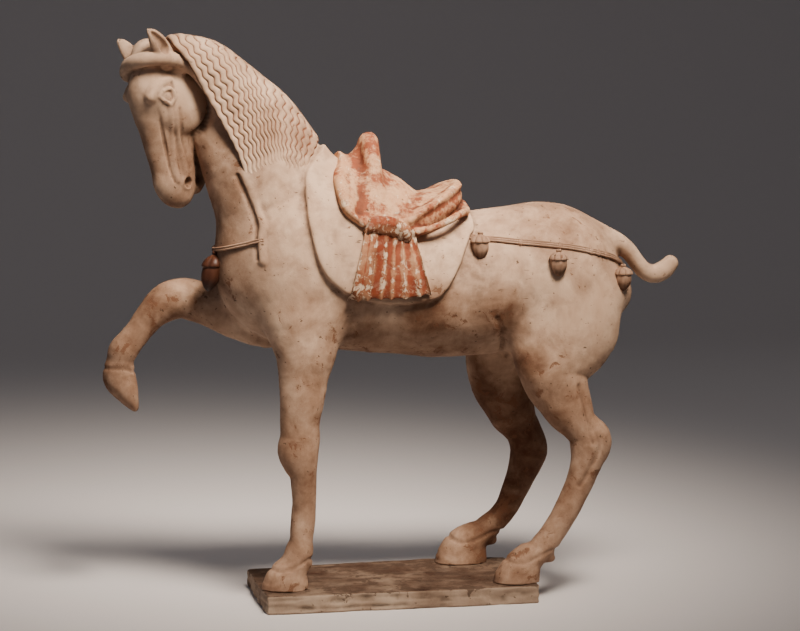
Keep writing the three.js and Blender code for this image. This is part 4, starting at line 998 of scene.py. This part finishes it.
def makeMane(name, side, count):
    lines = np.stack([smoothLine(lock, 6) for lock in mane["locks"]])
    sheet = np.stack([smoothLine(lines[:, i], 8) for i in range(lines.shape[1])])
    coarse = flankGrid(maneGround, sheet, side)
    crest = np.stack([sheet[0, :, 0], np.full(sheet.shape[1], -1.5 * side), sheet[0, :, 1]], 1)
    coarse[0] = settle(maneGround, crest, 0)
    # the locks share out the mane's width, as measured a little above its middle and at its lower edge
    belts = [lengthAlong(coarse[row]) for row in mane["measuredRows"]]
    across = np.linspace(0, 1, count * mane["stepsPerLock"] + 1)
    even = np.interp(across, sum(belt / belt[-1] for belt in belts) / 2, np.linspace(0, 1, len(belts[0])))
    down = np.linspace(0, 1, mane["stepsDown"])
    u, v = np.meshgrid(down, across, indexing="ij")
    flat = sampleGrid(coarse, u, np.broadcast_to(even, u.shape))
    run = lengthAlong(flat)
    # the comb's waves run in step across the locks, never quite evenly, and widen with the locks
    heading = unit(flat[-1] - flat[0])[None]
    along = ((flat - [-145, 0, 450]) * heading).sum(-1)
    slope = np.gradient(flat, axis=1) / (across[1] * count)
    gap = np.linalg.norm(np.cross(slope, heading), axis=-1)
    drift = clayNoise(flat, 34, 41)
    swing = mane["wave"] * gap * (1 + 0.3 * clayNoise(flat, 22, 42))
    fade = clamp(run / 12) * np.clip(v * count / 1.5, 0.2, 1) * clamp((1 - v) * 8 + 0.3)
    sway = np.clip(swing, 0.3, 2) * np.sin(2 * np.pi * along / mane["wavePitch"] + 1.4 * drift) * fade
    outward = outwardOn(maneGround, flat)
    aside = unit(np.cross(np.gradient(flat, axis=0), outward)) * np.sign(side)
    ground = settle(maneGround, (flat + aside * sway[..., None]).reshape(-1, 3), 0, 2).reshape(flat.shape)
    outward = outwardOn(maneGround, ground)
    fullRun = run[-1:]
    low = clamp((fullRun - run) / (0.2 * fullRun)) ** 0.7
    cut = clamp((run - mane["plainCrest"] * 0.5) / mane["plainCrest"])
    rim = np.exp(-((v * count / 1.1) ** 2)) * mane["firstLock"] * np.clip(run / 20, 0.2, 1)
    lift = cut * (0.55 + 0.45 * low) * clamp(0.9 - 0.25 * v) * np.clip((gap - 1.2) / 2.4, 0.12, 1)
    height = mane["base"] + mane["ridge"] * (1 - cut) + rim * low - (1 - low) * (mane["base"] + 1.3)
    outer = ground + outward * height[..., None]
    inner = ground + outward * mane["sunk"]
    piece = closedSheet(name, outer, inner, v, lift)
    runNodes(piece, ridgesOverSheet, {
        "Ridges": float(count), "Height": mane["ridge"] / 1000, "Rounding": 0.5, "Finish": maneSlip})
    setAttribute(piece, "cut", np.concatenate([lift.ravel(), np.zeros(lift.size)]))
    return piece


for name, side, count in (("mane_near", -1, mane["nearCount"]), ("mane_far", 1, mane["farCount"])):
    piece = makeMane(name, side, count)
    hollow = markClay(piece, 3, 10, 0.3, 0.8)
    points = pointsOf(piece)
    ridge, cut, across = (getAttribute(piece, key) for key in ("ridge", "cut", "across"))
    # the grooves between the locks take red ochre, and dirt with painted shade
    dip = clamp(1.25 - ridge * 1.7) * clamp(cut * 1.8)
    # painted shadow under the edge of the first lock, where it overhangs the neck
    edge = np.exp(-((across * count / 0.35) ** 2)) * (0.6 + 0.4 * clayNoise(points, 12, 44))
    setAttribute(piece, "hollow", clamp(hollow * 0.5 + dip * 0.75 + edge))
    setAttribute(piece, "pigment", clamp(dip * 1.1 + 0.4 * clamp((points[:, 0] + 112) / 50)))
    setAttribute(piece, "wornAndShaded", stainAndShadePatches(points, [[-105, -20, 440, 40, 0.4]]))
    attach(piece, "root")
print("mane ready")

# Saddle

saddle = {
    "step": 1.05,
    "triangles": 150000,
    "skirtThickness": 6,
    "skirtOutline": [
        [-50, 430], [-57, 404], [-58, 389], [-55, 375], [-47, 364], [-36, 354], [-10, 346], [15, 345],
        [29, 349], [44, 355], [62, 363], [72, 368], [72, 420], [-40, 450]],
    "rim": [
        [-39, -62, 359, 4.5, 4.5], [-50, -60, 367, 5, 5], [-56, -57, 377, 5, 5], [-58, -50, 389, 5.5, 5.5],
        [-58, -38, 400, 5.5, 5.5], [-54, -24, 406.5, 5.5, 5.5], [-50, -8, 409.5, 5.5, 5.5]],
    "pommel": [
        [-26, -47, 370, 8, 6], [-24, -40, 390, 8, 6], [-23, -29, 410, 8, 6], [-22, -16, 427, 7.5, 6],
        [-21, -5, 434, 7.5, 6]],
    "pommelFront": [[-48, 0, 405, 9, 20], [-38, 0, 409, 10, 20], [-30, 0, 419, 9, 13], [-24, 0, 428, 8, 8]],
    "pommelHollow": [
        [-41, -66, 371, 6, 7], [-38, -57, 386, 7, 8], [-36, -47, 402, 7, 8], [-35, -37, 415, 5, 6]],
    "seat": [[-14, 0, 370, 17, 36], [10, 0, 360, 18, 38], [34, 0, 360, 18, 36], [56, 0, 359, 16, 33]],
    "cantle": [
        [14, 0, 370, 8, 46], [32, 0, 376, 8.5, 46], [46, 0, 380.5, 7, 42], [57, 0, 386, 6, 35],
        [65, 0, 390.5, 3.6, 26]],
    "cantleBack": [
        [-8, 0, 358, 14, 50], [16, 0, 359, 16, 52], [36, 0, 364, 15, 49], [52, 0, 372, 12, 42],
        [59, 0, 377, 8, 35]],
    "cantleRim": [
        [8, -58, 359, 3.4, 4.5], [22, -56, 368, 3.2, 4.5], [37, -49, 376, 3, 4.5], [51, -38, 384, 3, 4.5],
        [60, -24, 389, 3, 4], [65, -8, 391.5, 3, 4]],
    "cantleWall": [
        [2, -52, 354, 9, 8], [22, -49, 361, 10, 8], [37, -43, 367, 9, 8], [50, -33, 374, 8, 8],
        [58, -20, 379, 8, 7], [62, -7, 381, 8, 7]],
    "rearRim": [
        [14, -62, 348, 3.4, 3.4], [30, -61, 352, 3.4, 3.4], [46, -57, 358, 3.4, 3.4],
        [60, -46, 364, 3.4, 3.4], [69, -30, 367, 3.4, 3.4]],
}


def bothFlanks(half):
    return [*half, *[[x, -y, *rest] for x, y, *rest in reversed(half)]]


skirt = layer(horseShape, saddle["skirtThickness"], saddle["skirtOutline"], 3)


def saddleForm():
    board = join(8, egg([-23, 0, 403], [8, 34, 33]), limb(saddle["pommelFront"]))
    pommel = join(8, board, limb(bothFlanks(saddle["pommel"])))
    bowl = join(5, limb(saddle["seat"]), limb(saddle["cantle"]), limb(saddle["cantleBack"]),
                limb(bothFlanks(saddle["cantleWall"])), limb(bothFlanks(saddle["cantleRim"])))
    rims = [limb(bothFlanks(saddle[name])) for name in ("rim", "rearRim")]
    hollows = []
    for side in bothSides:
        hollows.append(limb([[x, y * side, *rest] for x, y, *rest in saddle["pommelHollow"]]))
    return carve(4, join(6, skirt, join(7, pommel, bowl), *rims), *hollows)


saddleShape = saddleForm()


def makeSaddle():
    points, quads = skinOf(saddleShape, evenLines(saddleShape, saddle["step"]))
    piece = meshObject("saddle_clay", points, quads)
    thinOut(piece, saddle["triangles"])
    points = pointsOf(piece)
    lumps = 0.35 * clayNoise(points, 12, 11) + 0.15 * clayNoise(points, 4, 12)
    points += normalsOf(piece) * lumps[:, None]
    movePoints(piece, points)
    hollow = markClay(piece)
    # red earth kept in the hollows, deepened there as painted shade
    setAttribute(piece, "pigment", clamp(0.5 + 0.6 * hollow + 0.4 * clayNoise(points, 14, 2)))
    piece.data.materials.append(saddleRed)
    return piece


saddlePiece = makeSaddle()
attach(saddlePiece, "root")
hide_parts("saddle")
print("saddle ready")

# Pleated cloths

cloth = {
    # where the pale ridges stand, as shares of the width
    "ridges": [0, 0.15, 0.27, 0.42, 0.54, 0.69, 0.85, 1], "columnsPerPleat": 12, "rows": 64, "depth": 3.4,
    "coarseRows": 12, "outer": 6.4, "inner": 1.0, "bandEnd": 0.13,
    "top": [[-34.5, 360], [-26, 362], [-11, 360], [0, 354], [10, 347]],
    "hem": [[-52, 288], [-36, 285], [-16, 284], [6, 285], [26, 288]],
}
underCloth = join(3, horseShape, skirt)


def makeCloth(name, side, node):
    top, hem = smoothLine(cloth["top"], 8), smoothLine(cloth["hem"], 8)
    share = np.linspace(0, 1, cloth["coarseRows"])[:, None, None]
    coarse = flankGrid(underCloth, top[None] * (1 - share) + hem[None] * share, side)
    pleats = len(cloth["ridges"]) - 1
    down = np.linspace(0, 1, cloth["rows"])
    u, v = np.meshgrid(down, np.linspace(0, 1, pleats * cloth["columnsPerPleat"] + 1), indexing="ij")
    # the pleats wander a little toward the hem
    bent = v + 0.012 * clayNoise(np.stack([u * 40, v * 0, v * 90], -1), 14, 23) * u
    across = np.interp(bent, cloth["ridges"], np.arange(pleats + 1) / pleats)
    pleat = np.abs(np.sin(np.pi * across * pleats)) ** 0.7
    # the hem dips under each ridge
    ground = sampleGrid(coarse, u * (1 - 0.022 * pleat), v)
    outward = outwardOn(underCloth, sampleGrid(coarse, u, v))
    # a folded band over the rear half of the top
    rear = clamp((v - 0.5) * 14)
    band = (0.7 + 1.1 * rear) * np.exp(-(((u - 0.05 - 0.05 * rear) / 0.065) ** 2))
    height = cloth["outer"] + band + 0.9 * u - 0.8 * np.exp(-((u - 1) ** 2) / 0.0008)
    lift = -clamp((u - cloth["bandEnd"] - 0.06 * rear) * 7) * (0.7 + 0.3 * u)
    lift *= np.where(v < 0.26, 0.45, 1)
    outer = ground + outward * height[..., None]
    piece = closedSheet(name, outer, ground + outward * cloth["inner"], across, lift)
    runNodes(piece, ridgesOverSheet, {
        "Ridges": float(pleats), "Height": cloth["depth"] / 1000, "Rounding": 0.55, "Finish": saddleRed})
    points = pointsOf(piece)
    points += normalsOf(piece) * (0.3 * clayNoise(points, 10, 21))[:, None]
    movePoints(piece, points)
    hollow = markClay(piece, 3, 8, 0.3, 0.8)
    panel = clamp((v - 0.25) * 30)
    flats = clamp(np.abs(lift) * 3) * clamp(pleat * 1.5 - 0.45) * (0.12 + 0.88 * panel)
    redBand = clamp((0.16 - u) * 12) * (1 - rear) * clamp(v * 12)
    redLine = 0.9 * np.exp(-(((v - 0.145) / 0.012) ** 2)) * clamp(u * 6 - 0.6)
    red = np.maximum.reduce([flats, redBand, redLine])
    red = np.concatenate([red.ravel(), red.ravel()])
    # dirt and painted shade in the troughs between the pleats, and a brown wash of soil and painted shade
    # over the whole cloth
    setAttribute(piece, "hollow", clamp(hollow * 0.95))
    setAttribute(piece, "wornAndShaded", clamp(0.55 + 0.4 * clayNoise(points, 16, 24)))
    setAttribute(piece, "pigment", clamp(red * 0.85 + 0.25 * clayNoise(points, 9, 4)))
    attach(piece, "root")
    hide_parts(node)


makeCloth("cloth_near", -1, "pleated_cloth_near")
makeCloth("cloth_far", 1, "pleated_cloth_far")
print("cloths ready")

# Straps

strap = {
    "crupper": [
        [62, -58, 358], [78, -58, 350], [99, -58, 345], [124, -58, 339], [150, -58, 334], [176, -54, 329],
        [200, -44, 322], [216, -32, 317], [228, -18, 312], [233, -6, 309]],
    "breast": [[-130, -46, 341], [-142, -40, 338], [-154, -33, 335], [-165, -22, 332], [-171, -8, 330]],
    "width": 6.6, "cords": 3, "breastWidth": 4.752, "breastCords": 2,
    "rise": 1.9, "cordHeight": 0.8, "spacing": 1.3, "sunk": 2.2,
    "bands": [82, 120, 157, 190, 198, 207], "bandLength": 9.5, "bandWidth": 4.2, "bandThickness": 4.8,
}


def makeStrap(name, half, under, width, cords):
    path = settle(under, smoothLine(bothFlanks(half), 14), 0)
    run = lengthAlong(path)
    even = np.arange(0, run[-1], strap["spacing"])
    path = np.stack([np.interp(even, run, path[:, c]) for c in range(3)], 1)
    outward = outwardOn(under, path)
    along = unit(np.gradient(path, axis=0))
    sideways = unit(np.cross(along, outward))
    v = np.linspace(0, 1, 6 * cords + 1)
    shift = (v - 0.5) * width
    ground = path[:, None] + sideways[:, None] * shift[None, :, None]
    dome = strap["rise"] * (1 - (2 * v - 1) ** 6 * 0.6)
    outer = ground + outward[:, None] * dome[None, :, None]
    inner = ground - outward[:, None] * strap["sunk"]
    across = np.broadcast_to(v, outer.shape[:2])
    piece = closedSheet(name, outer, inner, across, np.ones(outer.shape[:2]))
    runNodes(piece, ridgesOverSheet, {
        "Ridges": float(cords), "Height": strap["cordHeight"] / 1000, "Rounding": 0.8, "Finish": tasselSlip})
    # dirt and painted shade between the cords
    setAttribute(piece, "hollow", clamp(1 - getAttribute(piece, "ridge") * 1.5) * 0.8)
    setAttribute(piece, "wornAndShaded", 0.3 + 0.3 * clayNoise(pointsOf(piece), 18, 9))
    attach(piece, "root")
    return path, outward, along


crupperPath = makeStrap("crupper_strap", strap["crupper"], trunk, strap["width"], strap["cords"])
makeStrap("breast_strap", strap["breast"], neckForm, strap["breastWidth"], strap["breastCords"])


def bandTree():
    tree, given = newTree("bands_on_a_strap", ("Band length", "Band width", "Thickness"))
    size = addNode(tree, "ShaderNodeCombineXYZ", None, {
        "X": given["Band width"], "Y": given["Band length"], "Z": given["Thickness"]})
    block = addNode(tree, "GeometryNodeMeshCube", None, {"Size": size.outputs[0]})
    pillow = addNode(tree, "GeometryNodeSubdivisionSurface", None, {"Mesh": block.outputs[0], "Level": 2})
    upright = addNode(tree, "FunctionNodeAlignRotationToVector", {"axis": "Z"},
                      {"Vector": named(tree, "outward")})
    turned = addNode(tree, "FunctionNodeAlignRotationToVector", {"axis": "X", "pivot_axis": "Z"},
                     {"Rotation": upright.outputs[0], "Vector": named(tree, "along")})
    dots = addNode(tree, "GeometryNodeInstanceOnPoints", None, {
        "Points": given["Geometry"], "Instance": pillow.outputs[0], "Rotation": turned.outputs[0]})
    closeTree(tree, dots.outputs[0], given["Finish"])
    return tree


bandsOnStrap = bandTree()


def makeBands(name, track):
    # one band on each flank where the strap passes a place on x
    path, outward, along = track
    spots = []
    for x in strap["bands"]:
        for side in bothSides:
            wrongFlank = path[:, 1] * side < 0
            spots.append(int(np.argmin(np.abs(path[:, 0] - x) + wrongFlank * 1e3)))
    mesh = bpy.data.meshes.new(name)
    mesh.from_pydata(toRow(path[spots] + outward[spots] * 1.5).tolist(), [], [])
    piece = newObject(name, mesh)
    setAttribute(piece, "outward", outward[spots], "FLOAT_VECTOR")
    setAttribute(piece, "along", along[spots], "FLOAT_VECTOR")
    runNodes(piece, bandsOnStrap, {
        "Band length": strap["bandLength"] / 1000, "Band width": strap["bandWidth"] / 1000,
        "Thickness": strap["bandThickness"] / 1000, "Finish": tasselSlip})
    piece.data.shade_smooth()
    setAttribute(piece, "wornAndShaded", np.full(len(piece.data.vertices), 0.35))
    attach(piece, "root")


makeBands("crupper_strap_bands", crupperPath)
print("straps ready")

# Tassels

tassel = {
    "radius": 9, "length": 27, "petals": 8, "breastPetals": 6, "petalHeight": 1.3, "standOff": 0.4,
    # height as a share of the length, width as a share of the radius, lift of the petals
    "profile": [
        [0.5, 0.03, 0], [0.49, 0.26, 0], [0.44, 0.34, 0], [0.4, 0.28, 0], [0.37, 0.42, 0.3],
        [0.31, 0.7, 0.8], [0.22, 0.92, 1], [0.13, 1.0, 1], [0.09, 0.93, 0.2], [0.02, 0.95, 0.1],
        [-0.1, 0.93, 0.2], [-0.22, 0.82, 0.4], [-0.33, 0.62, 0.5], [-0.42, 0.38, 0.5], [-0.48, 0.14, 0.2],
        [-0.5, 0.03, 0]],
    "places": {"front": [79, 332], "middle": [154, 316], "rear": [224, 298]},
    "breast": [-184, -8, 309], "breastRadius": 11, "breastLength": 40, "breastLean": 0.2,
}


def makeTassel(name, centre, radius, length, node, finish, petals, lean=0.0):
    rows = smoothLine(tassel["profile"], 3)
    columns = 8 * petals
    angle = np.arange(columns) / columns * 2 * np.pi
    spoke = np.stack([np.cos(angle), np.sin(angle), np.zeros(columns)], 1)
    points = spoke[None] * (rows[:, 1:2] * radius * 0.94)[..., None]
    points = points + [lean, 0, 1] * (rows[:, :1] * length)[..., None]
    number = np.arange(len(rows) * columns).reshape(len(rows), columns)
    after = np.roll(number, -1, 1)
    faces = np.stack([number[:-1], number[1:], after[1:], after[:-1]], -1).reshape(-1, 4)
    half = columns // 2
    for ring, flip in ((number[0], False), (number[-1], True)):
        back = ring[::-1]
        strip = np.stack([ring[: half - 1], ring[1:half], back[1:half], back[: half - 1]], 1)
        faces = np.concatenate([faces, strip[:, ::-1] if flip else strip])
    piece = meshObject(name, points.reshape(-1, 3) + centre, faces)
    setAttribute(piece, "across", np.broadcast_to(angle / (2 * np.pi), number.shape))
    setAttribute(piece, "lift", np.broadcast_to(rows[:, 2:3], number.shape))
    setAttribute(piece, "outward", np.broadcast_to(spoke[None], (*number.shape, 3)), "FLOAT_VECTOR")
    runNodes(piece, ridgesOverSheet, {
        "Ridges": float(petals), "Height": tassel["petalHeight"] / 1000, "Rounding": 0.6, "Finish": finish})
    points = pointsOf(piece)
    # painted shade: each tassel turns darker towards its bottom, in the hollow dirt and in the brown wash
    low = clamp((centre[2] - points[:, 2]) / length + 0.1)
    hollow = markClay(piece, 2, 5, 0.15, 0.4)
    setAttribute(piece, "hollow", clamp(hollow + low))
    setAttribute(piece, "wornAndShaded", 0.25 + low * 0.7)
    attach(piece, "root")
    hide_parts(node)


for flank, side in (("near", -1), ("far", 1)):
    for spot, place in tassel["places"].items():
        centre = onFlank(horseShape, [place], side, tassel["radius"] * tassel["standOff"])[0]
        makeTassel(f"tassel_{spot}_{flank}", centre, tassel["radius"], tassel["length"],
                   f"{spot}_tassel_{flank}", tasselSlip, tassel["petals"])
breastCentre = settle(horseShape, [tassel["breast"]], tassel["radius"] * tassel["standOff"])[0]
makeTassel("tassel_breast", breastCentre, tassel["breastRadius"], tassel["breastLength"], "breast_tassel",
           brownPaint, tassel["breastPetals"], tassel["breastLean"])
print("tassels ready")

# Base slab

slab = {
    "corners": [[-135, -69], [138, -69], [138, 78], [75, 86], [-10, 83], [-80, 76], [-135, 69]],
    "spacing": 1.5, "height": 18, "inset": 0.9, "deepest": 5,
    # rings up the edge, then inward over the top as shares of its size
    "edgeRings": np.array([0, 0.4, 1.2, *np.arange(2.4, 16.5, 1.1), 17, 17.6, 18]),
    "topRings": (0.985, 0.96, 0.93, 0.89, 0.84, 0.78, 0.71, 0.63, 0.54, 0.44, 0.33, 0.21, 0.08),
}


def makeSlab():
    corners = np.array(slab["corners"], float)
    outline = []
    for a, b in zip(corners, np.roll(corners, -1, 0)):
        n = int(np.linalg.norm(b - a) / slab["spacing"])
        outline += [a + (b - a) * i / n for i in range(n)]
    outline = np.array(outline)
    soften = lambda line: (line + np.roll(line, 1, 0) + np.roll(line, -1, 0)) / 3
    for _ in range(6):
        outline = soften(outline)
    along = np.roll(outline, -1, 0) - np.roll(outline, 1, 0)
    outward = unit(np.stack([along[:, 1], -along[:, 0]], 1))
    rings = []
    for z in slab["edgeRings"]:
        at = np.column_stack([outline, np.full(len(outline), z)])
        strata = clayNoise(at * [0.1, 0.1, 1], 3.2, 31) * 1.0 + clayNoise(at * [0.3, 0.3, 1], 5, 32) * 1.1
        strata += 3.2 * clamp(clayNoise(at * [0.6, 0.6, 1], 9, 37) - 0.25)
        rough = clayNoise(at, 7, 33) * 0.6 + clayNoise(at, 28, 34) * 1.4
        arris = 1.2 * max(0, 1 - z / 1.2) + 2.0 * max(0, (z - 16.8) / 1.2) ** 2
        inset = np.clip(slab["inset"] + strata + rough, 0, slab["deepest"]) + arris
        rings.append(np.column_stack([outline - outward * inset[:, None], np.full(len(outline), z)]))
    top = rings[-1]
    for share in slab["topRings"]:
        ring = top * [share, share, 1]
        ring[:, 2] = slab["height"] + np.minimum(0, 0.5 * clayNoise(ring, 14, 35) - 0.2)
        rings.append(ring)
    columns = len(outline)
    points = np.concatenate(rings) - [0, 0, soleHeight]
    number = np.arange(len(points)).reshape(-1, columns)
    after = np.roll(number, -1, 1)
    faces = np.stack([number[:-1], after[:-1], after[1:], number[1:]], -1).reshape(-1, 4)
    caps = [number[0][::-1].tolist(), number[-1].tolist()]
    mesh = bpy.data.meshes.new("slab_clay")
    mesh.from_pydata(toRow(points).tolist(), [], faces.tolist() + caps)
    mesh.validate()
    mesh.shade_smooth()
    piece = newObject("slab_clay", mesh)
    points = pointsOf(piece)
    markClay(piece, 3, 8, 0.25, 0.7)
    top = clamp((points[:, 2] + 1.2) / 0.6)
    setAttribute(piece, "wornAndShaded", clamp(0.1 + 0.75 * top + 0.3 * clayNoise(points, 30, 36)))
    mesh.materials.append(slabClay)
    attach(piece, "root")
    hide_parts("base_slab")


makeSlab()
print("slab ready")

# Finish of the horse

points = pointsOf(horsePiece)
x, y, z = points.T
# browner slip on the legs, most on the far hind one, and down the front of the neck and breast, part of it
# painted shade
# brown soil and painted shade: the wash grows towards the bottom of the legs
lowLegSoilAndShade = clamp((275 - z) / 100) * 0.5
farHind = clamp((y - 14) / 12) * clamp((x - 70) / 30) * clamp((262 - z) / 50)
# brown soil and painted shade over the raised foreleg
raised = clamp((-135 - x) / 60) * clamp((310 - z) / 20) * 0.6
# painted shade down the front of the neck and breast, the side turned away from the key lamp
neckFrontShade = clamp((-112 - x) / 40) * clamp((470 - z) / 40) * clamp((z - 270) / 20) * 0.45
# brown patches down the front of the face, on the rump, at the stifle and below the tail; the four under the
# belly and in the hollow in front of the near thigh are painted shade
places = [[-258, -22, 398, 22, 0.7], [-262, -20, 432, 18, 0.5], [-60, -10, 232, 80, 0.55],
          [40, -10, 225, 80, 0.55], [170, -20, 350, 70, 0.45], [30, -58, 262, 38, 0.8],
          [98, -56, 258, 34, 0.75], [128, -50, 214, 24, 0.9], [226, -10, 296, 26, 0.8]]
wornAndShaded = np.maximum.reduce([lowLegSoilAndShade, farHind, raised, neckFrontShade, stainAndShadePatches(points, places)])
setAttribute(horsePiece, "wornAndShaded", clamp(wornAndShaded))
# painted shade deep in the ears, the nostrils, the mouth and the vent, added to the hollows
shadeInOpenings = [[*onHead(-9, 27, 528), 9, 1.3], [*onHead(-9, -27, 519), 9, 1.3], [*onHead(-51, 15, 395), 6, 1.3],
         [*onHead(-51, -15, 395), 6, 1.3], [*onHead(-66, 8, 403), 14, 0.9], [-30, -12, 219, 16, 1.2],
         [-8, -14, 219, 16, 1.2], [14, -14, 219, 16, 1.2], [30, -10, 219, 14, 1]]
hollow = getAttribute(horsePiece, "hollow") + stainAndShadePatches(points, shadeInOpenings)
setAttribute(horsePiece, "hollow", clamp(hollow))
horsePiece.data.materials.append(bodySlip)
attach(horsePiece, "root")
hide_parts("horse", "tail")
print("horse ready")

bpy.context.view_layer.update()
asLists = lambda box: [[float(value) for value in corner] for corner in box]
{"cad": asLists(cadBox), "visual": asLists(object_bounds())}
